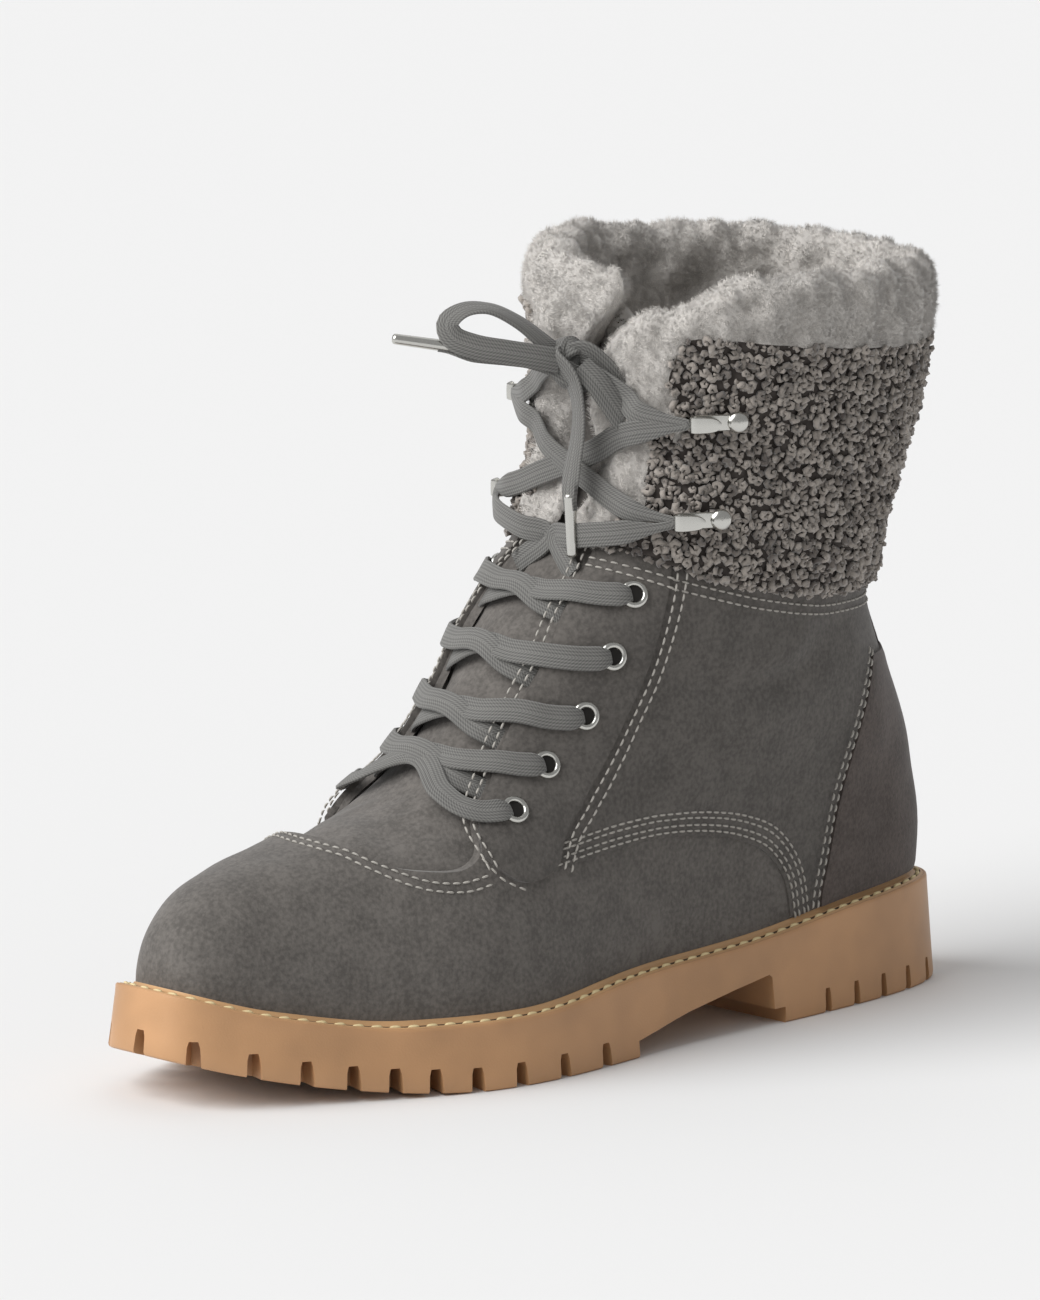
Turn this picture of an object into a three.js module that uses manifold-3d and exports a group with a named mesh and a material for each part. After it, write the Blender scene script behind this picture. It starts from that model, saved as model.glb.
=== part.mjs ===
// Lace-up sheepskin ankle boot, left foot, as an assembly of its pieces.
// Millimetres, +Z up, toe towards -Y, lateral (outer) side +X, standing on z = 0.
// A station is the distance forward from the sole's rear edge, so y = LENGTH / 2 - station.
import * as THREE from "three";
import { mergeVertices } from "three/addons/utils/BufferGeometryUtils.js";
import Module from "manifold-3d";

// ---- Driving dimensions ----
const LENGTH = 282; // outsole, heel to toe
const BALL = 100; // outsole breadth at the ball
const HEEL_HEIGHT = 30.5; // top of the welt over the heel
const BALL_HEIGHT = 19; // top of the welt over the ball
const TOE_SPRING = 13.5; // lift of the tread at the toe
const INSTEP_HEIGHT = 86; // upper over the lowest eyelet
const SHAFT_TOP = 204; // rim of the shell, under the rolled fleece
const CUFF_TOP = 214; // top of the rolled fleece
const TONGUE_TOP = 222;
const GAP = 0.3; // clearance between neighbouring pieces

const SOLE_FLARE = 2; // the tread is this much wider than the top of the sole
const LEDGE = 5.5; // the sole stands proud of the upper by this
const WELT_THICK = 2.6;
const WELT_SETBACK = 0.9;
const WALL = 6; // suede and pressed fleece
const THIN_WALL = 2.2; // beside the throat, where the tongue lies under the facings
const TONGUE_THICK = 3.8;
const OVERLAY = 1.3; // counter, backstay and eyestays
const CUFF_THICK = 9; // curly pelt
const LACE_WIDTH = 7;
const LACE_THICK = 1.3;

// ---- Tables in the boot's own sizes ----
const k = BALL / 100;
const BREADTHS = [
  { share: 0, lateral: 35.5 * k, medial: 35.5 * k },
  { share: 0.18, lateral: 35.5 * k, medial: 35.5 * k },
  { share: 0.42, lateral: 37.5 * k, medial: 32 * k },
  { share: 0.7, lateral: 51 * k, medial: 49 * k },
  { share: 0.9, lateral: 41 * k, medial: 43 * k },
  { share: 1, lateral: 37.5 * k, medial: 39.5 * k },
];
const FEATHER = [
  { station: -30, height: HEEL_HEIGHT },
  { station: 0, height: HEEL_HEIGHT },
  { station: 40, height: HEEL_HEIGHT - 1.5 },
  { station: 90, height: HEEL_HEIGHT - 6 },
  { station: 140, height: (HEEL_HEIGHT + BALL_HEIGHT) / 2 - 2.5 },
  { station: 185, height: BALL_HEIGHT },
  { station: 220, height: BALL_HEIGHT + 0.3 },
  { station: 255, height: BALL_HEIGHT + 0.4 * TOE_SPRING },
  { station: LENGTH, height: BALL_HEIGHT + TOE_SPRING },
  { station: LENGTH + 30, height: BALL_HEIGHT + 1.7 * TOE_SPRING },
];
// Front profile of the upper, from the toe's tip over vamp, instep and tongue to the collar.
const FRONT = [
  { station: LENGTH - LEDGE, height: 0 }, // its height is the feather's
  { station: 275.4, height: 41 },
  { station: 271, height: 50 },
  { station: 262, height: 57.5 },
  { station: 247, height: 62.5 },
  { station: 229, height: INSTEP_HEIGHT - 19.5 },
  { station: 211, height: INSTEP_HEIGHT - 14.5 },
  { station: 195, height: INSTEP_HEIGHT - 8.5 },
  { station: 183, height: INSTEP_HEIGHT },
  { station: 171, height: INSTEP_HEIGHT + 14 },
  { station: 160.5, height: INSTEP_HEIGHT + 29 },
  { station: 149.5, height: INSTEP_HEIGHT + 41 },
  { station: 137.5, height: INSTEP_HEIGHT + 52 },
  { station: 127.5, height: INSTEP_HEIGHT + 65 },
  { station: 122, height: 165 },
  { station: 120, height: 182 },
  { station: 120, height: SHAFT_TOP },
  { station: 120, height: 228 },
];
const BACK = [
  { station: LEDGE, height: 0 }, // its height is the feather's
  { station: 4.5, height: 46 },
  { station: 8.5, height: 72 },
  { station: 18, height: 95 },
  { station: 26.5, height: 115 },
  { station: 29, height: 132 },
  { station: 24.5, height: 152 },
  { station: 18, height: 176 },
  { station: 16, height: SHAFT_TOP },
  { station: 15.5, height: 228 },
];
const SHAFT_WIDTHS = [
  { height: 25, half: 33 },
  { height: 60, half: 34 },
  { height: 90, half: 35.5 },
  { height: 120, half: 36 },
  { height: 150, half: 37.5 },
  { height: 180, half: 40 },
  { height: SHAFT_TOP, half: 41.5 },
  { height: 228, half: 42 },
];
// Edge of the throat seen from the side: round the vamp's end, then up the facings to the collar.
const THROAT = [
  { station: 224.5, height: 69 },
  { station: 220.5, height: 65 },
  { station: 215, height: 61.5 },
  { station: 206, height: 59.5 },
  { station: 196, height: 59.5 },
  { station: 190, height: 63 },
  { station: 187, height: 70 },
  { station: 177, height: 81.5 },
  { station: 160, height: 104 },
  { station: 147.5, height: 122.5 },
  { station: 134, height: 138 },
  { station: 124.5, height: 151 },
  { station: 119, height: 167 },
  { station: 117.5, height: 240 },
];
const EYESTAY_REAR = [
  { station: 118, height: 143 },
  { station: 127, height: 112 },
  { station: 143.5, height: 85.5 },
  { station: 155.5, height: 74.5 },
  { station: 163, height: 66.5 },
  { station: 167, height: 57.5 },
  { station: 183, height: 54 },
];
const COUNTER_FRONT = [
  { station: 58, height: 20 },
  { station: 58, height: 32 },
  { station: 54, height: 49 },
  { station: 48.5, height: 68 },
  { station: 39, height: 94 },
];
const CUFF_EDGE = [
  { station: 0, height: 118 },
  { station: 25, height: 119 },
  { station: 60, height: 121 },
  { station: 85, height: 125.5 },
  { station: 112, height: 133 },
  { station: 145, height: 143.5 },
];
const CUFF_RIM = [
  { station: 0, lateral: CUFF_TOP - 3, medial: CUFF_TOP - 2 },
  { station: 60, lateral: CUFF_TOP, medial: CUFF_TOP + 3 },
  { station: 105, lateral: CUFF_TOP, medial: CUFF_TOP + 7 },
  { station: 140, lateral: CUFF_TOP - 4, medial: CUFF_TOP + 5 },
];
const EYELETS = [
  { station: 176, height: 72.5 },
  { station: 162, height: 83.4 },
  { station: 149, height: 96.2 },
  { station: 139.5, height: 112 },
  { station: 130.5, height: 128 },
];
const HOOKS = [
  { station: 109.5, height: 149 },
  { station: 103, height: 176 },
];
const BACKSTAY_FOOT = 97;
const BACKSTAY_STATION = 28.5;

// ---- Curves ----
const clamp = (v, a, b) => Math.min(b, Math.max(a, v));
const smooth = (t) => {
  const c = clamp(t, 0, 1);
  return c * c * (3 - 2 * c);
};
const mix = (a, b, t) => a + (b - a) * t;

// A monotone cubic through the named columns of a table.
function column(rows, input, output) {
  const xs = rows.map((r) => r[input]);
  const ys = rows.map((r) => r[output]);
  const slopes = ys.slice(1).map((y, i) => (y - ys[i]) / (xs[i + 1] - xs[i]));
  const tangents = ys.map((_, i) => {
    if (i === 0) return slopes[0];
    if (i === ys.length - 1) return slopes[i - 1];
    const [a, b] = [slopes[i - 1], slopes[i]];
    return a * b <= 0 ? 0 : (2 * a * b) / (a + b);
  });
  return (x) => {
    const at = clamp(x, xs[0], xs[xs.length - 1]);
    let i = 0;
    while (i < xs.length - 2 && at > xs[i + 1]) i++;
    const h = xs[i + 1] - xs[i];
    const t = (at - xs[i]) / h;
    const rise = ys[i + 1] - ys[i];
    const cubic = (h * (tangents[i] + tangents[i + 1]) - 2 * rise) * t ** 3;
    const square = (3 * rise - h * (2 * tangents[i] + tangents[i + 1])) * t ** 2;
    return ys[i] + h * tangents[i] * t + square + cubic;
  };
}

const feather = column(FEATHER, "station", "height");
const shaftHalf = column(SHAFT_WIDTHS, "height", "half");
const cuffEdge = column(CUFF_EDGE, "station", "height");
const breadth = {
  1: column(BREADTHS, "share", "lateral"),
  "-1": column(BREADTHS, "share", "medial"),
};
const cuffRim = {
  1: column(CUFF_RIM, "station", "lateral"),
  "-1": column(CUFF_RIM, "station", "medial"),
};

// A smooth side-view profile, with the height at a station and the station at a height.
function profile(rows) {
  const points = rows.map((r) => new THREE.Vector3(r.station, r.height || feather(r.station), 0));
  const curve = new THREE.CatmullRomCurve3(points, false, "centripetal");
  const find = (test) => {
    let [low, high] = [0, 1];
    for (let i = 0; i < 40; i++) {
      const t = (low + high) / 2;
      if (test(curve.getPoint(t))) low = t;
      else high = t;
    }
    return curve.getPoint(low);
  };
  return {
    at: (t) => curve.getPointAt(t),
    heightAt: (station) => find((p) => p.x > station).y,
    stationAt: (height) => find((p) => p.y < height).x,
    curve,
  };
}
const front = profile(FRONT);
const back = profile(BACK);

// ---- The last: half breadth of sole and upper ----
const END_ROUNDING = 0.31;
const TOE_LEAN = -6; // the toe turns inwards
const ARCH_POWER = 2.3;
const SHAFT_POWER = 2.2;

const centre = (station) => TOE_LEAN * smooth((station / LENGTH - 0.45) / 0.55);

function soleHalf(side, station, inset) {
  const share = (station - inset) / (LENGTH - 2 * inset);
  if (share <= 0 || share >= 1) return 0;
  return (breadth[side](share) - inset) * (4 * share * (1 - share)) ** END_ROUNDING;
}

function footHalf(side, station, height) {
  const base = feather(station);
  const top = station < 120.1 ? 1e4 : front.heightAt(station);
  if (top - base < 0.2) return 0;
  const rise = clamp((height - base) / (top - base), 0, 1);
  const heelShift = (back.stationAt(height) - LEDGE) * (1 - smooth(station / 110));
  return soleHalf(side, station - heelShift, LEDGE) * (1 - rise ** ARCH_POWER) ** (1 / ARCH_POWER);
}

function shaftHalfAt(station, height) {
  const [rear, fore] = [back.stationAt(height), front.stationAt(height)];
  const share = clamp(Math.abs((2 * station - rear - fore) / (fore - rear)), 0, 1);
  return shaftHalf(height) * (1 - share ** SHAFT_POWER) ** (1 / SHAFT_POWER);
}

// Half breadth of the upper at a point of its side view: the foot's arch flows into the shaft.
function upperHalf(side, station, height) {
  const shaft = smooth((height - feather(station) - 8) / 60) * smooth((205 - station) / 50);
  const foot = shaft < 1 ? footHalf(side, station, height) : 0;
  return mix(foot, shaft > 0 ? shaftHalfAt(station, height) : 0, shaft);
}

const place = (x, station, height) => new THREE.Vector3(x, LENGTH / 2 - station, height);
const onUpper = (side, station, height) =>
  place(centre(station) + side * upperHalf(side, station, height), station, height);

// Outward normal of the upper at a point of its side view.
function upperNormal(side, station, height) {
  const step = 0.5;
  const along = onUpper(side, station + step, height).sub(onUpper(side, station - step, height));
  const up = onUpper(side, station, height + step).sub(onUpper(side, station, height - step));
  return up.cross(along).multiplyScalar(side).normalize();
}
const offUpper = (side, station, height, out) =>
  onUpper(side, station, height).addScaledVector(upperNormal(side, station, height), out);

// ---- Solids ----
const wasm = await Module();
wasm.setup();

// A closed loft through rings of equal count; caps join each ring's two sides like a ladder.
function loft(rings, ends) {
  const count = rings[0].length;
  const positions = rings.flat().flatMap((p) => [p.x, p.y, p.z]);
  const faces = [];
  for (let j = 0; j < rings.length - 1; j++) {
    for (let i = 0; i < count; i++) {
      const [a, b] = [j * count + i, j * count + ((i + 1) % count)];
      faces.push([a, b, b + count], [a, b + count, a + count]);
    }
  }
  const cap = ends || ladder(count);
  const last = (rings.length - 1) * count;
  cap.forEach(([a, b, c]) => faces.push([c, b, a], [a + last, b + last, c + last]));
  const geometry = new THREE.BufferGeometry();
  geometry.setAttribute("position", new THREE.Float32BufferAttribute(positions, 3));
  geometry.setIndex(faces.flat());
  return solid(geometry);
}

function ladder(count) {
  const faces = [];
  for (let i = 0; i < count / 2; i++) {
    const [a, b, c, d] = [i, i + 1, count - i - 1, (count - i) % count];
    if (b !== c) faces.push([a, b, c]);
    if (a !== d) faces.push([a, c, d]);
  }
  return faces;
}

function solid(geometry) {
  const bare = new THREE.BufferGeometry();
  bare.setAttribute("position", geometry.getAttribute("position"));
  if (geometry.index) bare.setIndex(geometry.index);
  const merged = mergeVertices(bare, 1e-3);
  const positions = merged.getAttribute("position");
  const index = Array.from(merged.index.array);
  const triangles = [];
  for (let i = 0; i < index.length; i += 3) {
    const [a, b, c] = index.slice(i, i + 3);
    if (a !== b && b !== c && c !== a) triangles.push([a, b, c]);
  }
  const corner = (i) => new THREE.Vector3().fromBufferAttribute(positions, i);
  const volume = triangles.reduce(
    (sum, [a, b, c]) => sum + corner(a).dot(corner(b).cross(corner(c))),
    0,
  );
  if (volume < 0) triangles.forEach((t) => t.reverse());
  return new wasm.Manifold(
    new wasm.Mesh({
      numProp: 3,
      vertProperties: Float32Array.from(positions.array),
      triVerts: Uint32Array.from(triangles.flat()),
    }),
  );
}

const boot = new THREE.Group();
function add(name, body, colour, roughness, metalness = 0) {
  const data = body.getMesh();
  const geometry = new THREE.BufferGeometry();
  geometry.setAttribute("position", new THREE.BufferAttribute(data.vertProperties, 3));
  geometry.setIndex(new THREE.BufferAttribute(data.triVerts, 1));
  geometry.computeVertexNormals();
  const material = new THREE.MeshStandardMaterial({ color: colour, roughness, metalness });
  const mesh = new THREE.Mesh(geometry, material);
  mesh.name = name;
  boot.add(mesh);
}

const box = (x, y, z, at) => solid(new THREE.BoxGeometry(x, y, z).translate(at.x, at.y, at.z));

// A side-view outline of (station, height) pairs, extruded across the boot.
function prism(outline, half = 90) {
  const shape = new THREE.Shape(outline.map(([s, z]) => new THREE.Vector2(s, z)));
  const geometry = new THREE.ExtrudeGeometry(shape, { depth: 2 * half, bevelEnabled: false });
  const toBoot = new THREE.Matrix4().set(0, 0, 1, -half, -1, 0, 0, LENGTH / 2, 0, 1, 0, 0, 0, 0, 0, 1);
  return solid(geometry.applyMatrix4(toBoot));
}
const pairs = (rows) => rows.map((r) => [r.station, r.height]);

// A ring of the sole's outline at an inset, with its height by station.
function soleRing(inset, height, steps = 30) {
  const side = (sign, i) => {
    const share = (1 - Math.cos((Math.PI * i) / steps)) / 2;
    const station = inset + (LENGTH - 2 * inset) * share;
    return place(centre(station) + sign * soleHalf(sign, station, inset), station, height(station));
  };
  const lateral = Array.from({ length: steps + 1 }, (_, i) => side(1, i));
  const medial = Array.from({ length: steps - 1 }, (_, i) => side(-1, steps - 1 - i));
  return [...lateral, ...medial];
}
const slab = (low, high, lowInset, highInset = lowInset) =>
  loft([soleRing(lowInset, low), soleRing(highInset, high)]);

// ---- Outsole: one moulded unit with its heel, arch, toe spring and lugs ----
const BREAST = 83;
const HEEL_EDGE = 78.5;
const ARCH_FRONT = 141;
const TREAD_LINE = 195; // the toe spring starts here
const tread = (station) => TOE_SPRING * clamp((station - TREAD_LINE) / (LENGTH - TREAD_LINE), 0, 1.2) ** 2;
const unitTop = (station) => feather(station) - WELT_THICK;

// A tapered notch between two lugs, across the sole's edge.
function notch(at, outward, wide, tall, deep) {
  const corners = [
    [-wide / 2, -3],
    [wide / 2, -3],
    [wide / 2, 0],
    [wide / 3, tall],
    [-wide / 3, tall],
    [-wide / 2, 0],
  ];
  const shape = new THREE.Shape(corners.map(([a, b]) => new THREE.Vector2(a, b)));
  const geometry = new THREE.ExtrudeGeometry(shape, { depth: deep + 6, bevelEnabled: false });
  geometry.translate(0, 0, -deep);
  const up = new THREE.Vector3(0, 0, 1);
  const basis = new THREE.Matrix4().makeBasis(new THREE.Vector3().crossVectors(up, outward), up, outward);
  return solid(geometry.applyMatrix4(basis.setPosition(at)));
}

const LUGS = { forePitch: 14.4, foreWide: 4.8, foreTall: 5.6, heelPitch: 12.2, heelWide: 3.6, heelTall: 4.6 };

// Places spaced evenly along the sole's edge, between two stations, round the toe or round the heel.
function alongEdge(from, toToe, pitch) {
  const ring = soleRing(-SOLE_FLARE, tread, 120);
  const start = toToe ? ring : [...ring.slice(120), ...ring.slice(0, 120)];
  const inside = (p) => (toToe ? p.y < LENGTH / 2 - from : p.y > LENGTH / 2 - from);
  const path = new THREE.CurvePath();
  const stretch = start.filter(inside);
  stretch.slice(1).forEach((p, i) => path.add(new THREE.LineCurve3(stretch[i], p)));
  const count = Math.round(path.getLength() / pitch);
  return Array.from({ length: count }, (_, i) => {
    const at = path.getPointAt((i + 0.5) / count);
    const along = path.getTangentAt((i + 0.5) / count).setZ(0).normalize();
    return { at, outward: new THREE.Vector3(-along.y, along.x, 0) };
  });
}

function lugNotches() {
  const fore = alongEdge(ARCH_FRONT + 5, true, LUGS.forePitch);
  const heel = alongEdge(HEEL_EDGE - 8, false, LUGS.heelPitch);
  return [
    ...fore.map(({ at, outward }) => notch(at, outward, LUGS.foreWide, LUGS.foreTall, 11)),
    ...heel.map(({ at, outward }) => notch(at, outward, LUGS.heelWide, LUGS.heelTall, 10)),
  ];
}

// Cross bars in the middle of the tread.
function treadGrooves() {
  const groove = (station, half) =>
    box(2 * half, 3.4, 5.2, place(centre(station), station, tread(station)));
  const fore = [162, 177, 192, 207, 222, 237, 251].map((s) => groove(s, 24));
  const heel = [26, 40, 54].map((s) => groove(s, 16));
  return [...fore, ...heel];
}

let outsole = slab(tread, unitTop, -SOLE_FLARE, 0);
const archCut = prism([
  [HEEL_EDGE, -5],
  [HEEL_EDGE, 4.6],
  [BREAST, 4.6],
  [BREAST, 14.6],
  [100, 12.4],
  [118, 9.4],
  [132, 6.4],
  [ARCH_FRONT, 4.8],
  [ARCH_FRONT, -5],
]);
outsole = outsole.subtract(archCut);
[...lugNotches(), ...treadGrooves()].forEach((cut) => {
  outsole = outsole.subtract(cut);
});
add("outsole", outsole, "#b88a60", 0.55);

// ---- Welt and insole ----
const WELT_INNER = LEDGE + WALL + 0.7;
const weltLow = (s) => unitTop(s) + GAP;
const welt = slab(weltLow, feather, WELT_SETBACK).subtract(
  slab(
    (s) => weltLow(s) - 5,
    (s) => feather(s) + 5,
    WELT_INNER,
  ),
);
add("welt", welt, "#c9a479", 0.6);
add("insole", slab(weltLow, (s) => feather(s) + 3.5, WELT_INNER + 1.3), "#a79b8c", 0.95);

// ---- Upper ----
const RINGS = 15;
const COLUMNS = 16;

// Points of the side view between the front and back profiles, ring by ring.
function sideView(share, level) {
  const t = level ** 1.25;
  const [f, b] = [front.at(t), back.at(level)];
  const foot = mix(LEDGE, LENGTH - LEDGE, share);
  const sag = feather(foot) - mix(feather(LEDGE), feather(LENGTH - LEDGE), share);
  return { station: mix(b.x, f.x, share), height: mix(b.y, f.y, share) + sag * (1 - level) };
}

const upperRings = Array.from({ length: RINGS + 1 }, (_, j) => {
  const ring = (side, i) => {
    const share = (1 - Math.cos((Math.PI * i) / COLUMNS)) / 2;
    const { station, height } = sideView(share, j / RINGS);
    const ends = i === 0 || i === COLUMNS;
    return ends ? place(centre(station), station, height) : onUpper(side, station, height);
  };
  const lateral = Array.from({ length: COLUMNS + 1 }, (_, i) => ring(1, i));
  const medial = Array.from({ length: COLUMNS - 1 }, (_, i) => ring(-1, COLUMNS - 1 - i));
  return [...lateral, ...medial];
});

// Outward normals of the ring grid.
const upperNormals = upperRings.map((ring, j) =>
  ring.map((_, i) => {
    const next = ring[(i + 1) % ring.length];
    const before = ring[(i + ring.length - 1) % ring.length];
    const above = upperRings[Math.min(j + 1, RINGS)][i];
    const below = upperRings[Math.max(j - 1, 0)][i];
    const rise = new THREE.Vector3().subVectors(above, below);
    const normal = rise.cross(new THREE.Vector3().subVectors(next, before));
    return j === 0 ? normal.setZ(0).normalize() : normal.normalize();
  }),
);

// The upper's form grown or shrunk by a distance, reaching past its own foot and collar.
function upperForm(out, below, above) {
  const rings = upperRings.map((ring, j) =>
    ring.map((p, i) => p.clone().addScaledVector(upperNormals[j][i], out)),
  );
  const shifted = (ring, dz) => ring.map((p) => p.clone().setZ(p.z + dz));
  return loft([shifted(rings[0], -below), ...rings, shifted(rings[RINGS], above)]);
}

// ---- Eyelets: a flange on the facing and a barrel through it ----
const frameAt = (at, out, along) => {
  const z = out.clone().normalize();
  const y = new THREE.Vector3().crossVectors(z, along).normalize();
  const x = new THREE.Vector3().crossVectors(y, z);
  return new THREE.Matrix4().makeBasis(x, y, z).setPosition(at);
};
const UP = new THREE.Vector3(0, 0, 1);
const sides = [
  { side: 1, word: "lateral" },
  { side: -1, word: "medial" },
];
const EYELET = { outer: 4.1, barrel: 2.8, inner: 2.2, tall: 1, lift: 0.9, deep: 1.6 };

const eyeletPose = (side, { station, height }, out) =>
  frameAt(offUpper(side, station, height, out), upperNormal(side, station, height), UP);

function eyelet(side, row) {
  const base = GAP + OVERLAY + EYELET.lift;
  const ring = [
    [EYELET.inner, -base - EYELET.deep],
    [EYELET.barrel, -base - EYELET.deep],
    [EYELET.barrel, 0],
    [EYELET.outer, 0],
    [EYELET.outer - 1, EYELET.tall],
    [EYELET.inner, EYELET.tall * 0.6],
    [EYELET.inner, -base - EYELET.deep],
  ].map(([r, z]) => new THREE.Vector2(r, z));
  const geometry = new THREE.LatheGeometry(ring, 10).rotateX(Math.PI / 2);
  return solid(geometry.applyMatrix4(eyeletPose(side, row, base)));
}

function punch(side, row) {
  const hole = new THREE.CylinderGeometry(EYELET.barrel + GAP, EYELET.barrel + GAP, 12, 10);
  return solid(hole.rotateX(Math.PI / 2).applyMatrix4(eyeletPose(side, row, 0)));
}
const punches = sides.flatMap(({ side }) => EYELETS.map((row) => punch(side, row)));
const punched = (body) => punches.reduce((left, hole) => left.subtract(hole), body);

// ---- The throat, and the upper cut from its forms ----
const throatOutline = [...pairs(THROAT), [117.5, 260], [290, 260], [290, 69.5], [228, 74]];

// A side-view outline grown by a margin.
function grown(outline, margin) {
  return outline.map(([s, z], i) => {
    const [s0, z0] = outline[(i + outline.length - 1) % outline.length];
    const [s1, z1] = outline[(i + 1) % outline.length];
    const length = Math.hypot(s1 - s0, z1 - z0);
    return [s + ((z0 - z1) / length) * margin, z + ((s1 - s0) / length) * margin];
  });
}
const throat = prism(throatOutline);
const underSole = slab(() => -60, (s) => feather(s) + GAP, -25);
const overCollar = (height) => box(200, 300, 60, new THREE.Vector3(0, 50, height + 30));

const bore = upperForm(-WALL, 20, 8);
const pocket = upperForm(-THIN_WALL, 20, 8).intersect(prism(grown(throatOutline, 9)));
const upper = upperForm(0, 10, 1)
  .subtract(bore.add(pocket))
  .subtract(throat)
  .subtract(underSole)
  .subtract(overCollar(SHAFT_TOP));
add("upper", punched(upper), "#615b57", 0.95);

// ---- Tongue ----
const tongueFace = THIN_WALL + 0.4;
const tongueForm = (margin) =>
  upperForm(margin - tongueFace, 10, 1)
    .subtract(upperForm(-margin - tongueFace - TONGUE_THICK, 20, 8))
    .intersect(prism(grown(throatOutline, 6.5 + margin)));
const tongueFront = [
  [-45, 0],
  [45, 0],
  [45, 140],
  [31, 175],
  [26, TONGUE_TOP - 16],
  [20, TONGUE_TOP - 5],
  [11, TONGUE_TOP],
  [-11, TONGUE_TOP],
  [-20, TONGUE_TOP - 5],
  [-26, TONGUE_TOP - 16],
  [-31, 175],
  [-45, 140],
];
const tongueShape = new THREE.Shape(tongueFront.map(([x, z]) => new THREE.Vector2(x, z)));
const tongueCut = new THREE.ExtrudeGeometry(tongueShape, { depth: 400, bevelEnabled: false });
tongueCut.rotateX(Math.PI / 2).translate(0, 200, 0);
add("tongue", tongueForm(0).intersect(solid(tongueCut)), "#6d6965", 0.95);

// ---- Overlays, cut between two larger forms ----
const overlay = upperForm(GAP + OVERLAY, 10, 1).subtract(upperForm(GAP, 20, 8)).subtract(underSole);
const counterOutline = [
  ...pairs(COUNTER_FRONT),
  [BACKSTAY_STATION + 2, BACKSTAY_FOOT - 0.5],
  [-20, BACKSTAY_FOOT - 0.5],
  [-20, 20],
];
add("heel_counter", overlay.intersect(prism(counterOutline)), "#4f4845", 0.95);
const backstayOutline = [
  [BACKSTAY_STATION, BACKSTAY_FOOT],
  [BACKSTAY_STATION + 1, 117.4],
  [-20, 117.4],
  [-20, BACKSTAY_FOOT],
];
add("backstay", overlay.intersect(prism(backstayOutline)), "#4f4845", 0.95);
const eyestayOutline = [...pairs(EYESTAY_REAR), [190, 58], [240, 150], [118, 240]];
const eyestays = punched(overlay.intersect(prism(eyestayOutline)).subtract(throat));
for (const [name, side] of [
  ["eyestay_lateral", 1],
  ["eyestay_medial", -1],
]) {
  const half = box(100, 400, 400, new THREE.Vector3(50 * side, 0, 100));
  const lowBand = prism([
    [60, 40],
    [260, 40],
    [260, 143],
    [150, 143],
    [112, 132],
    [60, 121],
  ]);
  add(name, eyestays.intersect(half).intersect(lowBand), "#625d59", 0.95);
}

// ---- Cuff: curly pelt round the shaft, rolled over the rim, open at the front ----
const CUFF_STEPS = 30;
const FLAP_ANGLE = 0.26; // half of the gap between the two flaps
const CORNER_TURN = 0.5; // the flaps' top corners are rounded over this angle
const CORNER_DROP = { 1: 7.5, "-1": 4 };

// A point off the shaft at an angle round it, from the back (0) by the lateral side to the front (pi).
function offShaft(angle, height, out) {
  const [rear, fore] = [back.stationAt(height), front.stationAt(height)];
  const power = 2 / SHAFT_POWER;
  const ring = (a) => {
    const [c, s] = [Math.cos(a), Math.sin(a)];
    const along = (rear + fore) / 2 - ((fore - rear) / 2) * Math.sign(c) * Math.abs(c) ** power;
    return place(centre(along) + shaftHalf(height) * Math.sign(s) * Math.abs(s) ** power, along, height);
  };
  const step = 0.02;
  const tangent = ring(angle + step).sub(ring(angle - step));
  const outward = new THREE.Vector3(-tangent.y, tangent.x, 0).normalize();
  return ring(angle).addScaledVector(outward, out);
}

function cuffSection(angle) {
  const side = Math.sin(angle) >= 0 ? 1 : -1;
  const station = (height) => LENGTH / 2 - offShaft(angle, height, 0).y;
  const low = cuffEdge(station(135));
  const corner = 1 - smooth((Math.PI - Math.abs(angle) - FLAP_ANGLE) / CORNER_TURN);
  const rim = cuffRim[side](station(CUFF_TOP)) - CORNER_DROP[side] * corner;
  const over = SHAFT_TOP + GAP + 0.2;
  const section = [
    [-2, low],
    [CUFF_THICK - 4.5, low + 1],
    [CUFF_THICK - 2, mix(low, rim, 0.3)],
    [CUFF_THICK, mix(low, rim, 0.7)],
    [CUFF_THICK - 1, rim - 5],
    [CUFF_THICK - 4, rim],
    [-WALL + 1.5, rim],
    [-WALL - 1.5, rim - 1.5],
    [-WALL - 1.5, over],
    [-2, over],
  ];
  return section.map(([out, height]) => offShaft(angle, height, out));
}

const cuffCap = [
  [0, 1, 2],
  [0, 2, 3],
  [0, 3, 9],
  [9, 3, 4],
  [9, 4, 5],
  [9, 5, 6],
  [9, 6, 7],
  [9, 7, 8],
];
const cuffSections = Array.from({ length: CUFF_STEPS + 1 }, (_, i) =>
  cuffSection(-Math.PI + FLAP_ANGLE + ((2 * Math.PI - 2 * FLAP_ANGLE) * i) / CUFF_STEPS),
);
const clearOfShaft = upperForm(GAP + 0.2, 10, 1).subtract(overCollar(SHAFT_TOP + GAP));
const cuff = loft(cuffSections, cuffCap).subtract(clearOfShaft).subtract(tongueForm(0.6));
add("cuff", cuff, "#6a6460", 1);

// ---- Hooks ----
const HOOK_LIFT = 1.3; // the plate is flat and the pelt is round

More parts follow.
